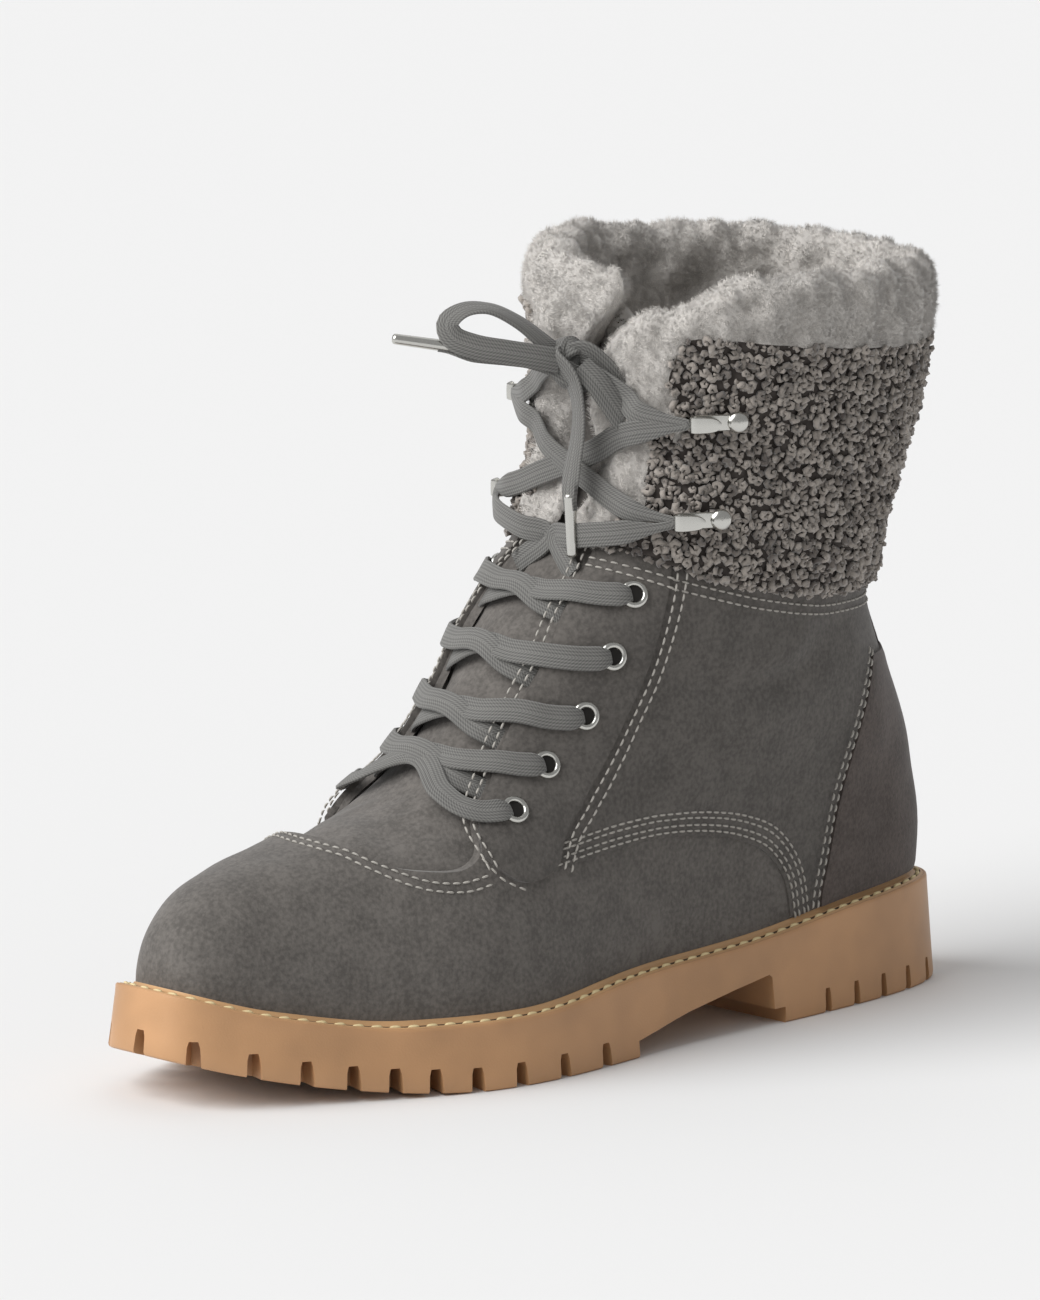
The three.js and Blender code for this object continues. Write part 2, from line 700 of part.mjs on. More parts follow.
// A speed hook: a riveted plate whose front end curls outwards and back.
function hook(side, { station, height }) {
  const strip = [
    [-11, 0],
    [10, 0],
    [10, 1],
    [-8.6, 1],
    [-9.6, 2.2],
    [-8.6, 3.4],
    [-3, 3.6],
    [-3, 4.6],
    [-9.4, 4.5],
    [-11.2, 2.6],
  ].map(([a, b]) => new THREE.Vector2(a, b));
  const plate = new THREE.ExtrudeGeometry(new THREE.Shape(strip), { depth: 4.4, bevelEnabled: false });
  plate.translate(0, 0, -2.2).rotateX(Math.PI / 2);
  const rivet = new THREE.SphereGeometry(2.7, 10, 6).scale(1, 1, 0.7).translate(7, 0, 0.9);
  const angle = shaftAngle(side, station, height);
  const at = offShaft(angle, height, CUFF_THICK + HOOK_LIFT);
  const out = at.clone().sub(offShaft(angle, height, 0));
  const rearward = new THREE.Vector3(0, 1, 0);
  const pose = frameAt(at, out, rearward);
  return solid(plate.applyMatrix4(pose)).add(solid(rivet.applyMatrix4(pose)));
}

// The angle round the shaft at which a side passes a station.
function shaftAngle(side, station, height) {
  let [low, high] = [0, Math.PI];
  for (let i = 0; i < 30; i++) {
    const angle = (low + high) / 2;
    if (LENGTH / 2 - offShaft(angle, height, 0).y < station) low = angle;
    else high = angle;
  }
  return side * low;
}

for (const { side, word } of sides) {
  EYELETS.forEach((e, i) => add(`eyelet_${word}_${i + 1}`, eyelet(side, e), "#c9c9c6", 0.25, 1));
  HOOKS.forEach((h, i) => add(`hook_${word}_${i + 1}`, hook(side, h), "#c9c9c6", 0.25, 1));
}

// ---- Lace ----
// A flat band along a path of points, each with the way its face looks.
function band(stops, width = LACE_WIDTH) {
  const sections = stops.map(({ at, face }, i) => {
    const ahead = stops[Math.min(i + 1, stops.length - 1)].at;
    const along = ahead.clone().sub(stops[Math.max(i - 1, 0)].at).normalize();
    const out = face.clone().addScaledVector(along, -face.dot(along)).normalize();
    const across = new THREE.Vector3().crossVectors(along, out);
    const corner = (a, b) =>
      at.clone().addScaledVector(across, (a * width) / 2).addScaledVector(out, (b * LACE_THICK) / 2);
    return [corner(-1, -1), corner(1, -1), corner(1, 1), corner(-1, 1)];
  });
  return loft(sections);
}

// The ridge point that faces each eyelet, and the profile's outward direction there.
function ridgeFacing({ station, height }) {
  let best = { distance: Infinity };
  for (let t = 0.3; t < 0.95; t += 0.002) {
    const p = front.at(t);
    const distance = Math.hypot(p.x - station, p.y - height);
    if (distance < best.distance) best = { distance, t };
  }
  return best.t;
}
const RIDGES = EYELETS.map(ridgeFacing);
function ridge(t) {
  const p = front.at(t);
  const along = front.at(t + 0.004).sub(front.at(t - 0.004)).normalize();
  return { station: p.x, height: p.y, face: new THREE.Vector3(0, -along.y, -along.x) };
}

// Half of a crossing: from a share of the way to the ridge, up to the ridge itself.
function toRidge(side, row, top, from, outs, steps = 6) {
  const start = { station: mix(row.station, top.station, from), height: mix(row.height, top.height, from) };
  const sideFace = upperNormal(side, start.station, start.height);
  return Array.from({ length: steps + 1 }, (_, i) => {
    const t = i / steps;
    const near = 1 - (1 - t) ** 2;
    const station = mix(start.station, top.station, near);
    const height = mix(start.height, top.height, near);
    const face = sideFace.clone().lerp(top.face, t).normalize();
    const at = t === 1 ? place(centre(station), station, height) : onUpper(side, station, height);
    return { at: at.addScaledVector(face, mix(outs[0], outs[1], smooth(t * 1.4))), face };
  });
}

const HIDDEN = 0.2; // level with the facings, clear of the tongue
const OVER_FACING = 3.6;
const OVER_TONGUE = 1.8;

// A crossing runs from under one facing to the next eyelet of the other side.
function crossing(level, side, lift) {
  const top = ridge((RIDGES[level] + RIDGES[level + 1]) / 2);
  const rising = toRidge(side, EYELETS[level], top, 0.88, [HIDDEN, OVER_TONGUE + lift]);
  const falling = toRidge(-side, EYELETS[level + 1], top, 0.36, [OVER_FACING, OVER_TONGUE + lift]);
  return band([...rising, ...falling.reverse().slice(1)]);
}
const lowest = ridge(RIDGES[0]);
const barHalf = (side) => toRidge(side, EYELETS[0], lowest, 0.38, [OVER_FACING, OVER_TONGUE + 0.9]);
const bar = band([...barHalf(1), ...barHalf(-1).reverse().slice(1)]);
for (let level = 0; level < EYELETS.length - 1; level++) {
  const both = crossing(level, 1, 0).add(crossing(level, -1, 0.9));
  add(`lace_cross_${level + 1}`, level === 0 ? both.add(bar) : both, "#67665f", 0.9);
}

// Runs over the pelt: rows of angle from the front, height and distance off the shaft.
function run(side, rows) {
  const at = ({ turn, height, out }) => offShaft(side * (Math.PI - turn), height, out);
  const curve = new THREE.CatmullRomCurve3(rows.map(at));
  const steps = 2 * (rows.length - 1);
  return Array.from({ length: steps + 1 }, (_, i) => {
    const p = curve.getPoint(i / steps);
    const face = p.clone().sub(place(0, 78, p.z)).normalize();
    return { at: p, face };
  });
}
const OVER_PELT = CUFF_THICK + 2.6;
const hookTurn = HOOKS.map(({ station, height }) => Math.PI - shaftAngle(1, station + 14, height));
const BESIDE_HOOK = 4.2;
const TO_LOWER = [
  { turn: -0.2, height: 139.8, out: 1.6 },
  { turn: 0.04, height: 142.6, out: 4.2 },
  { turn: 0.3, height: 144.6, out: OVER_PELT - 1 },
  { turn: 0.52, height: 145.2, out: OVER_PELT + 0.6 },
  { turn: hookTurn[0], height: HOOKS[0].height - BESIDE_HOOK, out: OVER_PELT },
];
const TO_UPPER = [
  { turn: -hookTurn[0], height: HOOKS[0].height + BESIDE_HOOK, out: OVER_PELT },
  { turn: -0.4, height: 158, out: OVER_PELT },
  { turn: 0, height: 162, out: OVER_PELT - 0.4 },
  { turn: 0.4, height: 166, out: OVER_PELT },
  { turn: hookTurn[1], height: HOOKS[1].height - BESIDE_HOOK, out: OVER_PELT },
];
const KNOT = { turn: 0.04, height: 191 };
const TO_KNOT = [
  { turn: hookTurn[1], height: HOOKS[1].height + BESIDE_HOOK, out: OVER_PELT },
  { turn: 0.8, height: 184.5, out: OVER_PELT + 1 },
  { turn: 0.5, height: 187.5, out: OVER_PELT + 2 },
  { turn: 0.22, height: 189.5, out: OVER_PELT + 0.6 },
];
const raised = (rows, lift) => rows.map((r) => ({ ...r, out: r.out + (Math.abs(r.turn) < 0.3 ? lift : 0) }));
const bothWays = (rows) => band(run(1, rows)).add(band(run(-1, raised(rows, 1))));
add("lace_cross_5", bothWays(TO_LOWER), "#67665f", 0.9);
add("lace_cross_6", bothWays(TO_UPPER), "#67665f", 0.9);
for (const { side, word } of sides) {
  add(`lace_tie_${word}`, band(run(side, TO_KNOT)), "#67665f", 0.9);
}

// ---- Bow: knot, two loops and two ends with their aglets ----
const knotAt = offShaft(Math.PI - KNOT.turn, KNOT.height, CUFF_THICK + 3.6);
const fromKnot = (x, y, z) => knotAt.clone().add(new THREE.Vector3(x, y, z));
const knot = new THREE.SphereGeometry(1, 12, 8).scale(6, 3.6, 6.5).translate(...knotAt.toArray());
add("lace_knot", solid(knot), "#67665f", 0.9);

// A band through hand-placed offsets from the knot.
const VIEWWARD = new THREE.Vector3(0.72, -0.66, 0.2);
function bowPath(offsets) {
  return new THREE.CatmullRomCurve3(offsets.map(([x, y, z]) => fromKnot(x, y, z)));
}
function bowBand(offsets, steps = 16) {
  const curve = bowPath(offsets);
  const stops = Array.from({ length: steps + 1 }, (_, i) => {
    const at = curve.getPointAt(i / steps);
    return { at, face: curve.getTangentAt(i / steps).cross(VIEWWARD).normalize() };
  });
  return band(stops);
}
const BOW = {
  lace_loop_left: [
    [-5, -5.5, 5],
    [-9, -9.5, 11],
    [-15, -15, 14],
    [-20, -19.5, 12.5],
    [-21.5, -21, 8],
    [-17.5, -17.5, 4.5],
    [-11, -12, 2.8],
    [-7, -8.5, 1.6],
  ],
  lace_loop_right: [
    [7.5, -2.5, 4],
    [14, -3, 1.5],
    [21, -1, -6],
    [26, 0, -15],
    [25, -2, -21],
    [20, -5, -16.5],
    [14, -7, -9],
    [9.5, -6.8, -4.5],
  ],
  lace_end_left: [
    [-6.5, -8.5, -4],
    [-10.5, -12, -2.6],
    [-15, -16.5, -1.4],
    [-19.5, -20.5, -0.6],
  ],
  lace_end_right: [
    [2, -5.5, -7.5],
    [4.5, -7, -14],
    [7.5, -7.5, -22],
    [9, -8.5, -31],
    [9.5, -10.5, -38],
  ],
};
for (const [name, offsets] of Object.entries(BOW)) {
  add(name, bowBand(offsets), "#67665f", 0.9);
}
const AGLET = { length: 18, radius: 1.6 };
for (const [name, end] of [
  ["aglet_left", BOW.lace_end_left],
  ["aglet_right", BOW.lace_end_right],
]) {
  const tip = fromKnot(...end[end.length - 1]);
  const way = tip.clone().sub(fromKnot(...end[end.length - 2])).normalize();
  const tube = new THREE.CylinderGeometry(AGLET.radius * 0.85, AGLET.radius, AGLET.length, 10);
  tube.translate(0, AGLET.length / 2 + GAP, 0);
  tube.applyQuaternion(new THREE.Quaternion().setFromUnitVectors(new THREE.Vector3(0, 1, 0), way));
  add(name, solid(tube.translate(...tip.toArray())), "#c9c9c6", 0.25, 1);
}

export default boot;
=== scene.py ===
"""Lace-up sheepskin ankle boot for the left foot: the visible pieces over the CAD frame."""

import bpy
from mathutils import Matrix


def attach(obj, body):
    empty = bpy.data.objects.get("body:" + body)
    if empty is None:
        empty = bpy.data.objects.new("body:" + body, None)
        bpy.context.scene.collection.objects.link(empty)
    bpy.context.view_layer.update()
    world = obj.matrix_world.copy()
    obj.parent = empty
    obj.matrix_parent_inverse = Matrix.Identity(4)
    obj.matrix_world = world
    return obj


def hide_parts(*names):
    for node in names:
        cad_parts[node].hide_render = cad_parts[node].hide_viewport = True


bl_info = {
    "name": "Sheepskin Boot",
    "version": (1, 0, 0),
    "blender": (4, 2, 0),
    "location": "View3D > Sidebar > Boot",
    "description": "Makes a lace-up sheepskin boot piece by piece",
    "category": "Add Mesh",
}

import bmesh
import bpy
import numpy as np
from mathutils import Matrix, Vector
from mathutils.geometry import delaunay_2d_cdt

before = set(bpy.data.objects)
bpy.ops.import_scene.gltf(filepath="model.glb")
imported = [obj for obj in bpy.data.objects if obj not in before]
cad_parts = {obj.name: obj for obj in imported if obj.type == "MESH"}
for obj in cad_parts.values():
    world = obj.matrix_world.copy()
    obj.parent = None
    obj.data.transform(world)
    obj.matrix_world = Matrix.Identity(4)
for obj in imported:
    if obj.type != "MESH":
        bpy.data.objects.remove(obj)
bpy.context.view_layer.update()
MM = 0.001

# ---- Sizes, in millimetres, as in the CAD ----
LENGTH = 282.0
TOE_SPRING = 13.5
SHAFT_TOP, CUFF_TOP = 204.0, 214.0
LEDGE, SOLE_FLARE, WELT_THICK = 5.5, 2.0, 2.6
WALL, THIN_WALL, TONGUE_THICK = 6.0, 2.2, 3.8
CUFF_THICK = 9.0
FLAP_ANGLE = 0.26
TOE_LEAN = -6.0
END_ROUNDING, ARCH_POWER, SHAFT_POWER = 0.31, 2.3, 2.2
SIDES = ((1, "lateral"), (-1, "medial"))

# Trim that lies over the CAD's solids: thickness and how far its back stands off the upper.
QUARTER, FACING_STRIP, BACKSTAY, COUNTER = (0.85, 0.0), (1.0, 0.8), (0.8, 0.8), (0.95, 1.0)
EYELET_SEAT, HOOK_SEAT = 2.05, CUFF_THICK + 0.9  # how far rings and hooks stand off the upper and the leg
STITCH, WELT_STITCH = (2.2, 0.68), (3.9, 1.4)  # length and thickness of a stitch
WELT_SEAM = 2.65  # inset of the welt's stitches from the sole's edge
# Copies of a curl and a tuft: smallest size, largest size, and tilt in radians.
CURLS, TUFTS = (0.9, 1.55, 0.9), (0.7, 1.25, 0.55)
WOOLLY_ABOVE = 158.0  # the tongue shows its fleece from here up

# A station is the distance forward from the sole's rear edge.
BREADTHS = {  # half breadth of the sole by share of its length
    "share": (0, 0.18, 0.42, 0.7, 0.9, 1),
    "lateral": (35.5, 35.5, 37.5, 51, 41, 37.5),
    "medial": (35.5, 35.5, 32, 49, 43, 39.5),
}
FEATHER = {  # where the upper meets the sole
    "station": (-30, 0, 40, 90, 140, 185, 220, 255, LENGTH, LENGTH + 30),
    "height": (30.5, 30.5, 29, 24.5, 22.25, 19, 19.3, 24.4, 32.5, 41.95),
}
FRONT = (
    (LENGTH - LEDGE, 0), (275.4, 41), (271, 50), (262, 57.5), (247, 62.5), (229, 66.5), (211, 71.5),
    (195, 77.5), (183, 86), (171, 100), (160.5, 115), (149.5, 127), (137.5, 138), (127.5, 151),
    (122, 165), (120, 182), (120, 204), (120, 228),
)
BACK = (
    (LEDGE, 0), (4.5, 46), (8.5, 72), (18, 95), (26.5, 115), (29, 132), (24.5, 152), (18, 176),
    (16, 204), (15.5, 228),
)
SHAFT_WIDTHS = {
    "height": (25, 60, 90, 120, 150, 180, 204, 228),
    "half": (33, 34, 35.5, 36, 37.5, 40, 41.5, 42),
}


def monotone(xs, ys):
    """A monotone cubic through the columns of a table."""
    xs, ys = np.asarray(xs, float), np.asarray(ys, float)
    slopes = np.diff(ys) / np.diff(xs)
    tangents = np.concatenate([slopes[:1], np.zeros(len(xs) - 2), slopes[-1:]])
    a, b = slopes[:-1], slopes[1:]
    tangents[1:-1] = np.where(a * b > 0, 2 * a * b / np.where(a + b == 0, 1, a + b), 0)

    def at(x):
        x = np.clip(x, xs[0], xs[-1])
        i = np.clip(np.searchsorted(xs, x, side="right") - 1, 0, len(xs) - 2)
        wide, rise = xs[i + 1] - xs[i], ys[i + 1] - ys[i]
        t = (x - xs[i]) / wide
        m, n = tangents[i], tangents[i + 1]
        square, cube = 3 * rise - wide * (2 * m + n), wide * (m + n) - 2 * rise
        return ys[i] + wide * m * t + square * t**2 + cube * t**3

    return at


def through(points, per=24):
    """Dense points of a centripetal Catmull-Rom curve through the given ones."""
    p = np.asarray(points, float)
    p = np.vstack([2 * p[0] - p[1], p, 2 * p[-1] - p[-2]])
    out = []
    share = np.linspace(0, 1, per, endpoint=False)[:, None]
    for a, b, c, d in zip(p, p[1:], p[2:], p[3:]):
        e, f, g = (max(np.linalg.norm(v), 1e-6) ** 0.5 for v in (b - a, c - b, d - c))
        m = ((b - a) / e - (c - a) / (e + f) + (c - b) / f) * f
        n = ((c - b) / f - (d - b) / (f + g) + (d - c) / g) * f
        cube, square = 2 * b - 2 * c + m + n, 3 * c - 3 * b - 2 * m - n
        out.append(cube * share**3 + square * share**2 + m * share + b)
    return np.vstack([*out, p[-2:-1]])


def along(points, shares):
    """Points at shares of a dense polyline's length."""
    points = np.asarray(points, float)
    run = np.concatenate([[0], np.cumsum(np.linalg.norm(np.diff(points, axis=0), axis=1))])
    at = np.asarray(shares, float) * run[-1]
    return np.stack([np.interp(at, run, points[:, k]) for k in range(points.shape[1])], -1)


def unit(vectors):
    return vectors / np.linalg.norm(vectors, axis=-1, keepdims=True)


def length_of(points):
    return float(np.linalg.norm(np.diff(np.asarray(points, float), axis=0), axis=1).sum())


def smooth(t):
    t = np.clip(t, 0, 1)
    return t * t * (3 - 2 * t)


feather = monotone(FEATHER["station"], FEATHER["height"])
shaft_half = monotone(SHAFT_WIDTHS["height"], SHAFT_WIDTHS["half"])
breadth = {side: monotone(BREADTHS["share"], BREADTHS[word]) for side, word in SIDES}


class Profile:
    """A smooth line of the boot's side view, upwards."""

    def __init__(self, rows):
        rows = [(s, h or float(feather(s))) for s, h in rows]
        self.line = through(rows, 60)

    def at(self, share):
        return along(self.line, share)

    def station_at(self, height):
        return np.interp(height, self.line[:, 1], self.line[:, 0])

    def height_at(self, station):
        order = np.argsort(self.line[:, 0], kind="stable")
        return np.interp(station, self.line[order, 0], self.line[order, 1])


front, back = Profile(FRONT), Profile(BACK)


def centre(station):
    """Distance of the boot's middle line from the frame's, which leans towards the toe."""
    return TOE_LEAN * smooth((station / LENGTH - 0.45) / 0.55)


def sole_half(side, station, inset):
    """Half breadth of the sole's outline at an inset from its edge."""
    share = np.clip((station - inset) / (LENGTH - 2 * inset), 0, 1)
    wide = np.where(side > 0, breadth[1](share), breadth[-1](share))
    return (wide - inset) * (4 * share * (1 - share)) ** END_ROUNDING


def upper_half(side, station, height):
    """Half breadth of the upper at a point of its side view: the foot's arch flows into the shaft."""
    station, height = np.asarray(station, float), np.asarray(height, float)
    base = feather(station)
    top = np.where(station < 120.3, 1e4, front.height_at(station))
    rise = np.clip((height - base) / np.maximum(top - base, 0.2), 0, 1)
    shift = (back.station_at(height) - LEDGE) * (1 - smooth(station / 110))
    foot = sole_half(side, station - shift, LEDGE) * (1 - rise**ARCH_POWER) ** (1 / ARCH_POWER)
    rear, fore = back.station_at(height), front.station_at(height)
    share = np.clip(np.abs((2 * station - rear - fore) / (fore - rear)), 0, 1)
    leg = shaft_half(height) * (1 - share**SHAFT_POWER) ** (1 / SHAFT_POWER)
    blend = smooth((height - base - 8) / 60) * smooth((205 - station) / 50)
    return foot * (1 - blend) + leg * blend


def place(x, station, height):
    """Points of the frame, in millimetres, from distances across, along and up."""
    station = np.asarray(station, float)
    return np.stack(np.broadcast_arrays(x, LENGTH / 2 - station, height), -1).astype(float)


def side_view(share, level):
    """Station and height between the back and front profiles."""
    fore, rear = front.at(level**1.25), back.at(level)
    foot = LEDGE + (LENGTH - 2 * LEDGE) * share
    ends = feather(LEDGE) * (1 - share) + feather(LENGTH - LEDGE) * share
    sag = (feather(foot) - ends) * (1 - level)
    station = rear[..., 0] + (fore[..., 0] - rear[..., 0]) * share
    return station, rear[..., 1] + (fore[..., 1] - rear[..., 1]) * share + sag


def on_shell(turn, level):
    """Points of the upper. Turn runs from the front ridge (-1) by the medial side to the back (0), and
    on by the lateral side to the ridge again (1); level runs from the sole (0) up."""
    share = (1 - np.cos(np.pi * np.clip(np.abs(turn), 0, 1))) / 2
    station, height = side_view(share, level)
    side = np.where(turn >= 0, 1, -1)
    half = np.where(np.abs(turn) > 0.9999, 0, upper_half(side, station, height))
    return place(centre(station) + side * half, station, height)


TURNS, LEVELS = 240, 150
turn_grid, level_grid = np.meshgrid(np.linspace(-1, 1, TURNS + 1), np.linspace(0, 1, LEVELS + 1))
SHELL = on_shell(turn_grid, level_grid)


def normals(shell):
    """Outward normals of the shell by differences, closed round the front ridge."""
    wide = np.concatenate([shell[:, -3:-1], shell, shell[:, 1:3]], axis=1)
    out = np.cross(np.gradient(shell, axis=0), wide[:, 4:] - wide[:, :-4])
    out[0, :, 2] = 0
    return unit(out)


NORMALS = normals(SHELL)


def off_shell(turn, level, out=0.0):
    """Points off the upper, by bilinear lookup; turn wraps at the front ridge."""
    turn = (np.asarray(turn, float) + 1) % 2 - 1
    u = (turn + 1) / 2 * TURNS
    v = np.clip(level, 0, 1) * LEVELS
    i, j = np.clip(u.astype(int), 0, TURNS - 1), np.clip(v.astype(int), 0, LEVELS - 1)
    a, b = (u - i)[..., None], (v - j)[..., None]

    def mixed(grid):
        low = grid[j, i] * (1 - a) + grid[j, i + 1] * a
        high = grid[j + 1, i] * (1 - a) + grid[j + 1, i + 1] * a
        return low * (1 - b) + high * b

    normal = unit(mixed(NORMALS))
    return mixed(SHELL) + normal * np.asarray(out, float)[..., None], normal


def to_shell(side, rows):
    """Turn and level of (station, height) points of the side view."""
    rows = np.asarray(rows, float)
    share, level = np.full(len(rows), 0.5), np.full(len(rows), 0.4)
    for _ in range(40):
        step = 1e-4
        s, h = side_view(share, level)
        s1, h1 = side_view(share + step, level)
        s2, h2 = side_view(share, level + step)
        a, b, c, d = (s1 - s) / step, (s2 - s) / step, (h1 - h) / step, (h2 - h) / step
        det = a * d - b * c
        ds, dh = rows[:, 0] - s, rows[:, 1] - h
        share = np.clip(share + 0.8 * (d * ds - b * dh) / det, 0, 1)
        level = np.clip(level + 0.8 * (a * dh - c * ds) / det, 0.0, 0.999)
    return side * np.arccos(1 - 2 * share) / np.pi, level


# ---- Colours, sizes and settings that a user would change ----
def srgb(code):
    return tuple(int(code[i : i + 2], 16) / 255 for i in (1, 3, 5))


def linear(colour):
    """An sRGB colour as linear light with full alpha."""
    c = np.asarray(colour[:3], float)
    return (*np.where(c <= 0.04045, c / 12.92, ((c + 0.055) / 1.055) ** 2.4).tolist(), 1.0)


def colour_setting(name, code, text):
    return bpy.props.FloatVectorProperty(
        name=name, description=text, subtype="COLOR_GAMMA", size=3, min=0, max=1, default=srgb(code)
    )


def size_setting(name, value, text):
    return bpy.props.FloatProperty(
        name=name, description=text, subtype="DISTANCE", unit="LENGTH", default=value * MM
    )


class BootColours(bpy.types.PropertyGroup):
    """Colours of the boot's finishes"""

    suede: colour_setting("Suede", "#64605c", "Grey suede of vamp, quarters and facings")
    dark_suede: colour_setting("Dark suede", "#564e4a", "Suede of counter and backstay")
    tongue: colour_setting("Tongue", "#67635f", "Suede of the tongue")
    pelt: colour_setting("Curly pelt", "#a29a92", "Tips of the cuff's curls")
    # Painted shade: the hide between the curls takes it, darker still, and the curls' random tone runs down
    # to it.
    pelt_shadow: colour_setting("Pelt shadow", "#4d4642", "Roots of the cuff's curls")
    fleece: colour_setting("Fleece", "#dfdad4", "Shorn fleece of collar and lining")
    lace: colour_setting("Lace", "#6c6b68", "Flat woven lace")
    thread: colour_setting("Thread", "#aaa69f", "Stitches of the upper")
    welt_thread: colour_setting("Welt thread", "#e3cf9f", "Stitches of the welt")
    rubber: colour_setting("Gum rubber", "#bc9067", "Moulded sole")
    welt: colour_setting("Welt", "#c79e72", "Strip along the sole's edge")
    metal: colour_setting("Nickel", "#c9c8c3", "Eyelets, hooks and lace tips")


class BootSizes(bpy.types.PropertyGroup):
    """Sizes of the boot's small parts"""

    stitch_pitch: size_setting("Stitch pitch", 3.0, "From stitch to stitch on the upper")
    welt_pitch: size_setting("Welt stitch pitch", 5.4, "From stitch to stitch on the welt")
    curl_gap: size_setting("Curl spacing", 1.98, "Least distance between two curls of the pelt")
    tuft_gap: size_setting("Tuft spacing", 0.85, "Least distance between two tufts of fleece")
    lace_width: size_setting("Lace width", 7.0, "Breadth of the flat lace")
    lace_thick: size_setting("Lace thickness", 1.3, "Thickness of the flat lace")


# ---- Meshes ----
def feed(made, inputs):
    """Gives a node its inputs: another node by its first output, a socket, or a value."""
    for key, value in inputs.items():
        if isinstance(value, bpy.types.Node):
            value = value.outputs[0]
        if isinstance(value, bpy.types.NodeSocket):
            made.id_data.links.new(value, made.inputs[key])
        else:
            made.inputs[key].default_value = value


def node(tree, kind, inputs=None, stops=(), **settings):
    """Adds a node with its settings, its links and the stops of its colour ramp."""
    made = tree.nodes.new(kind)
    for key, value in settings.items():
        setattr(made, key, value)
    for i, (position, colour) in enumerate(stops):
        made.color_ramp.elements[i].position = position
        made.color_ramp.elements[i].color = linear(colour)
    feed(made, inputs or {})
    return made


def mesh_object(name, points, faces, materials, sharp=None):
    """A smooth mesh from points in millimetres."""
    mesh = bpy.data.meshes.new(name)
    mesh.from_pydata((np.asarray(points, float).reshape(-1, 3) * MM).tolist(), [], faces)
    for material in materials:
        mesh.materials.append(material)
    mesh.shade_smooth()
    if sharp:
        mesh.set_sharp_from_angle(angle=np.radians(sharp))
    made = bpy.data.objects.new(name, mesh)
    bpy.context.scene.collection.objects.link(made)
    return made


def grid_faces(rows, columns, round_columns=False, round_rows=False, start=0):
    """Quads of a grid of points, row by row."""
    faces = []
    for j in range(rows if round_rows else rows - 1):
        for i in range(columns if round_columns else columns - 1):
            a, b = j * columns + i, j * columns + (i + 1) % columns
            up = ((j + 1) % rows - j) * columns
            faces.append((start + a, start + b, start + b + up, start + a + up))
    return faces


def tube_faces(rows, columns, start=0):
    """Quads of a tube of rings, and its two end faces."""
    last = start + (rows - 1) * columns
    ends = [tuple(range(start, start + columns))[::-1], tuple(range(last, last + columns))]
    return grid_faces(rows, columns, round_columns=True, start=start) + ends


def ladder(count, start=0, flip=False):
    """Quads that join the two sides of a ring across it."""
    half = count // 2
    rows = [(i, i + 1, (count - i - 1) % count, (count - i) % count) for i in range(half)]
    faces = [tuple(dict.fromkeys(start + v for v in row)) for row in rows]
    return [f[::-1] if flip else f for f in faces if len(f) > 2]


def outward(made):
    """Turns a closed mesh's faces to point out."""
    work = bmesh.new()
    work.from_mesh(made.data)
    bmesh.ops.remove_doubles(work, verts=work.verts, dist=1e-6)
    bmesh.ops.recalc_face_normals(work, faces=work.faces)
    work.to_mesh(made.data)
    work.free()
    return made


def flatten(made):
    """Applies an object's modifiers to its mesh."""
    bpy.context.view_layer.update()
    mesh = bpy.data.meshes.new_from_object(made.evaluated_get(bpy.context.evaluated_depsgraph_get()))
    made.modifiers.clear()
    made.data = mesh
    mesh.name = made.name
    return made


def carve(made, cutter):
    """Cuts one object's shape out of another."""
    modifier = made.modifiers.new("cut", "BOOLEAN")
    modifier.operation, modifier.solver, modifier.object = "DIFFERENCE", "EXACT", cutter
    flatten(made)
    bpy.data.objects.remove(cutter)
    return made


def piece(made, finish, *nodes):
    """The object rides on the boot and hides the CAD nodes that it stands for; the finish is not used."""
    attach(made, "root")
    if nodes:
        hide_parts(*nodes)
    return made


def join(parts, name):
    """Several objects as one mesh."""
    points, faces, index, uvs = [], [], [], []
    materials = []
    count = 0
    for part in parts:
        mesh = part.data
        spots = np.zeros(len(mesh.loops) * 2)
        if mesh.uv_layers:
            mesh.uv_layers[0].data.foreach_get("uv", spots)
        uvs.append(spots)
        for material in mesh.materials:
            if material not in materials:
                materials.append(material)
        points += [tuple(v.co / MM) for v in mesh.vertices]
        for face in mesh.polygons:
            faces.append([v + count for v in face.vertices])
            index.append(materials.index(mesh.materials[face.material_index]))
        count += len(mesh.vertices)
    made = mesh_object(name, points, faces, materials, 40)
    made.data.polygons.foreach_set("material_index", index)
    made.data.uv_layers.new(name="UVMap").data.foreach_set("uv", np.concatenate(uvs))
    for part in parts:
        bpy.data.objects.remove(part)
    return made


# ---- Materials ----
def blank(name):
    """A new material with its shader linked to its output."""
    material = bpy.data.materials.new(name)
    material.use_nodes = True
    tree = material.node_tree
    tree.nodes.clear()
    shader = node(tree, "ShaderNodeBsdfPrincipled")
    node(tree, "ShaderNodeOutputMaterial", {"Surface": shader})
    return material, tree, shader


def per(size):
    """The scale of a noise whose lumps measure about this many millimetres."""
    return 1 / (size * MM)


def shaded(colour, factor):
    """The same sRGB colour, darker or lighter."""
    return tuple(np.clip(np.asarray(colour[:3]) * factor, 0, 1))


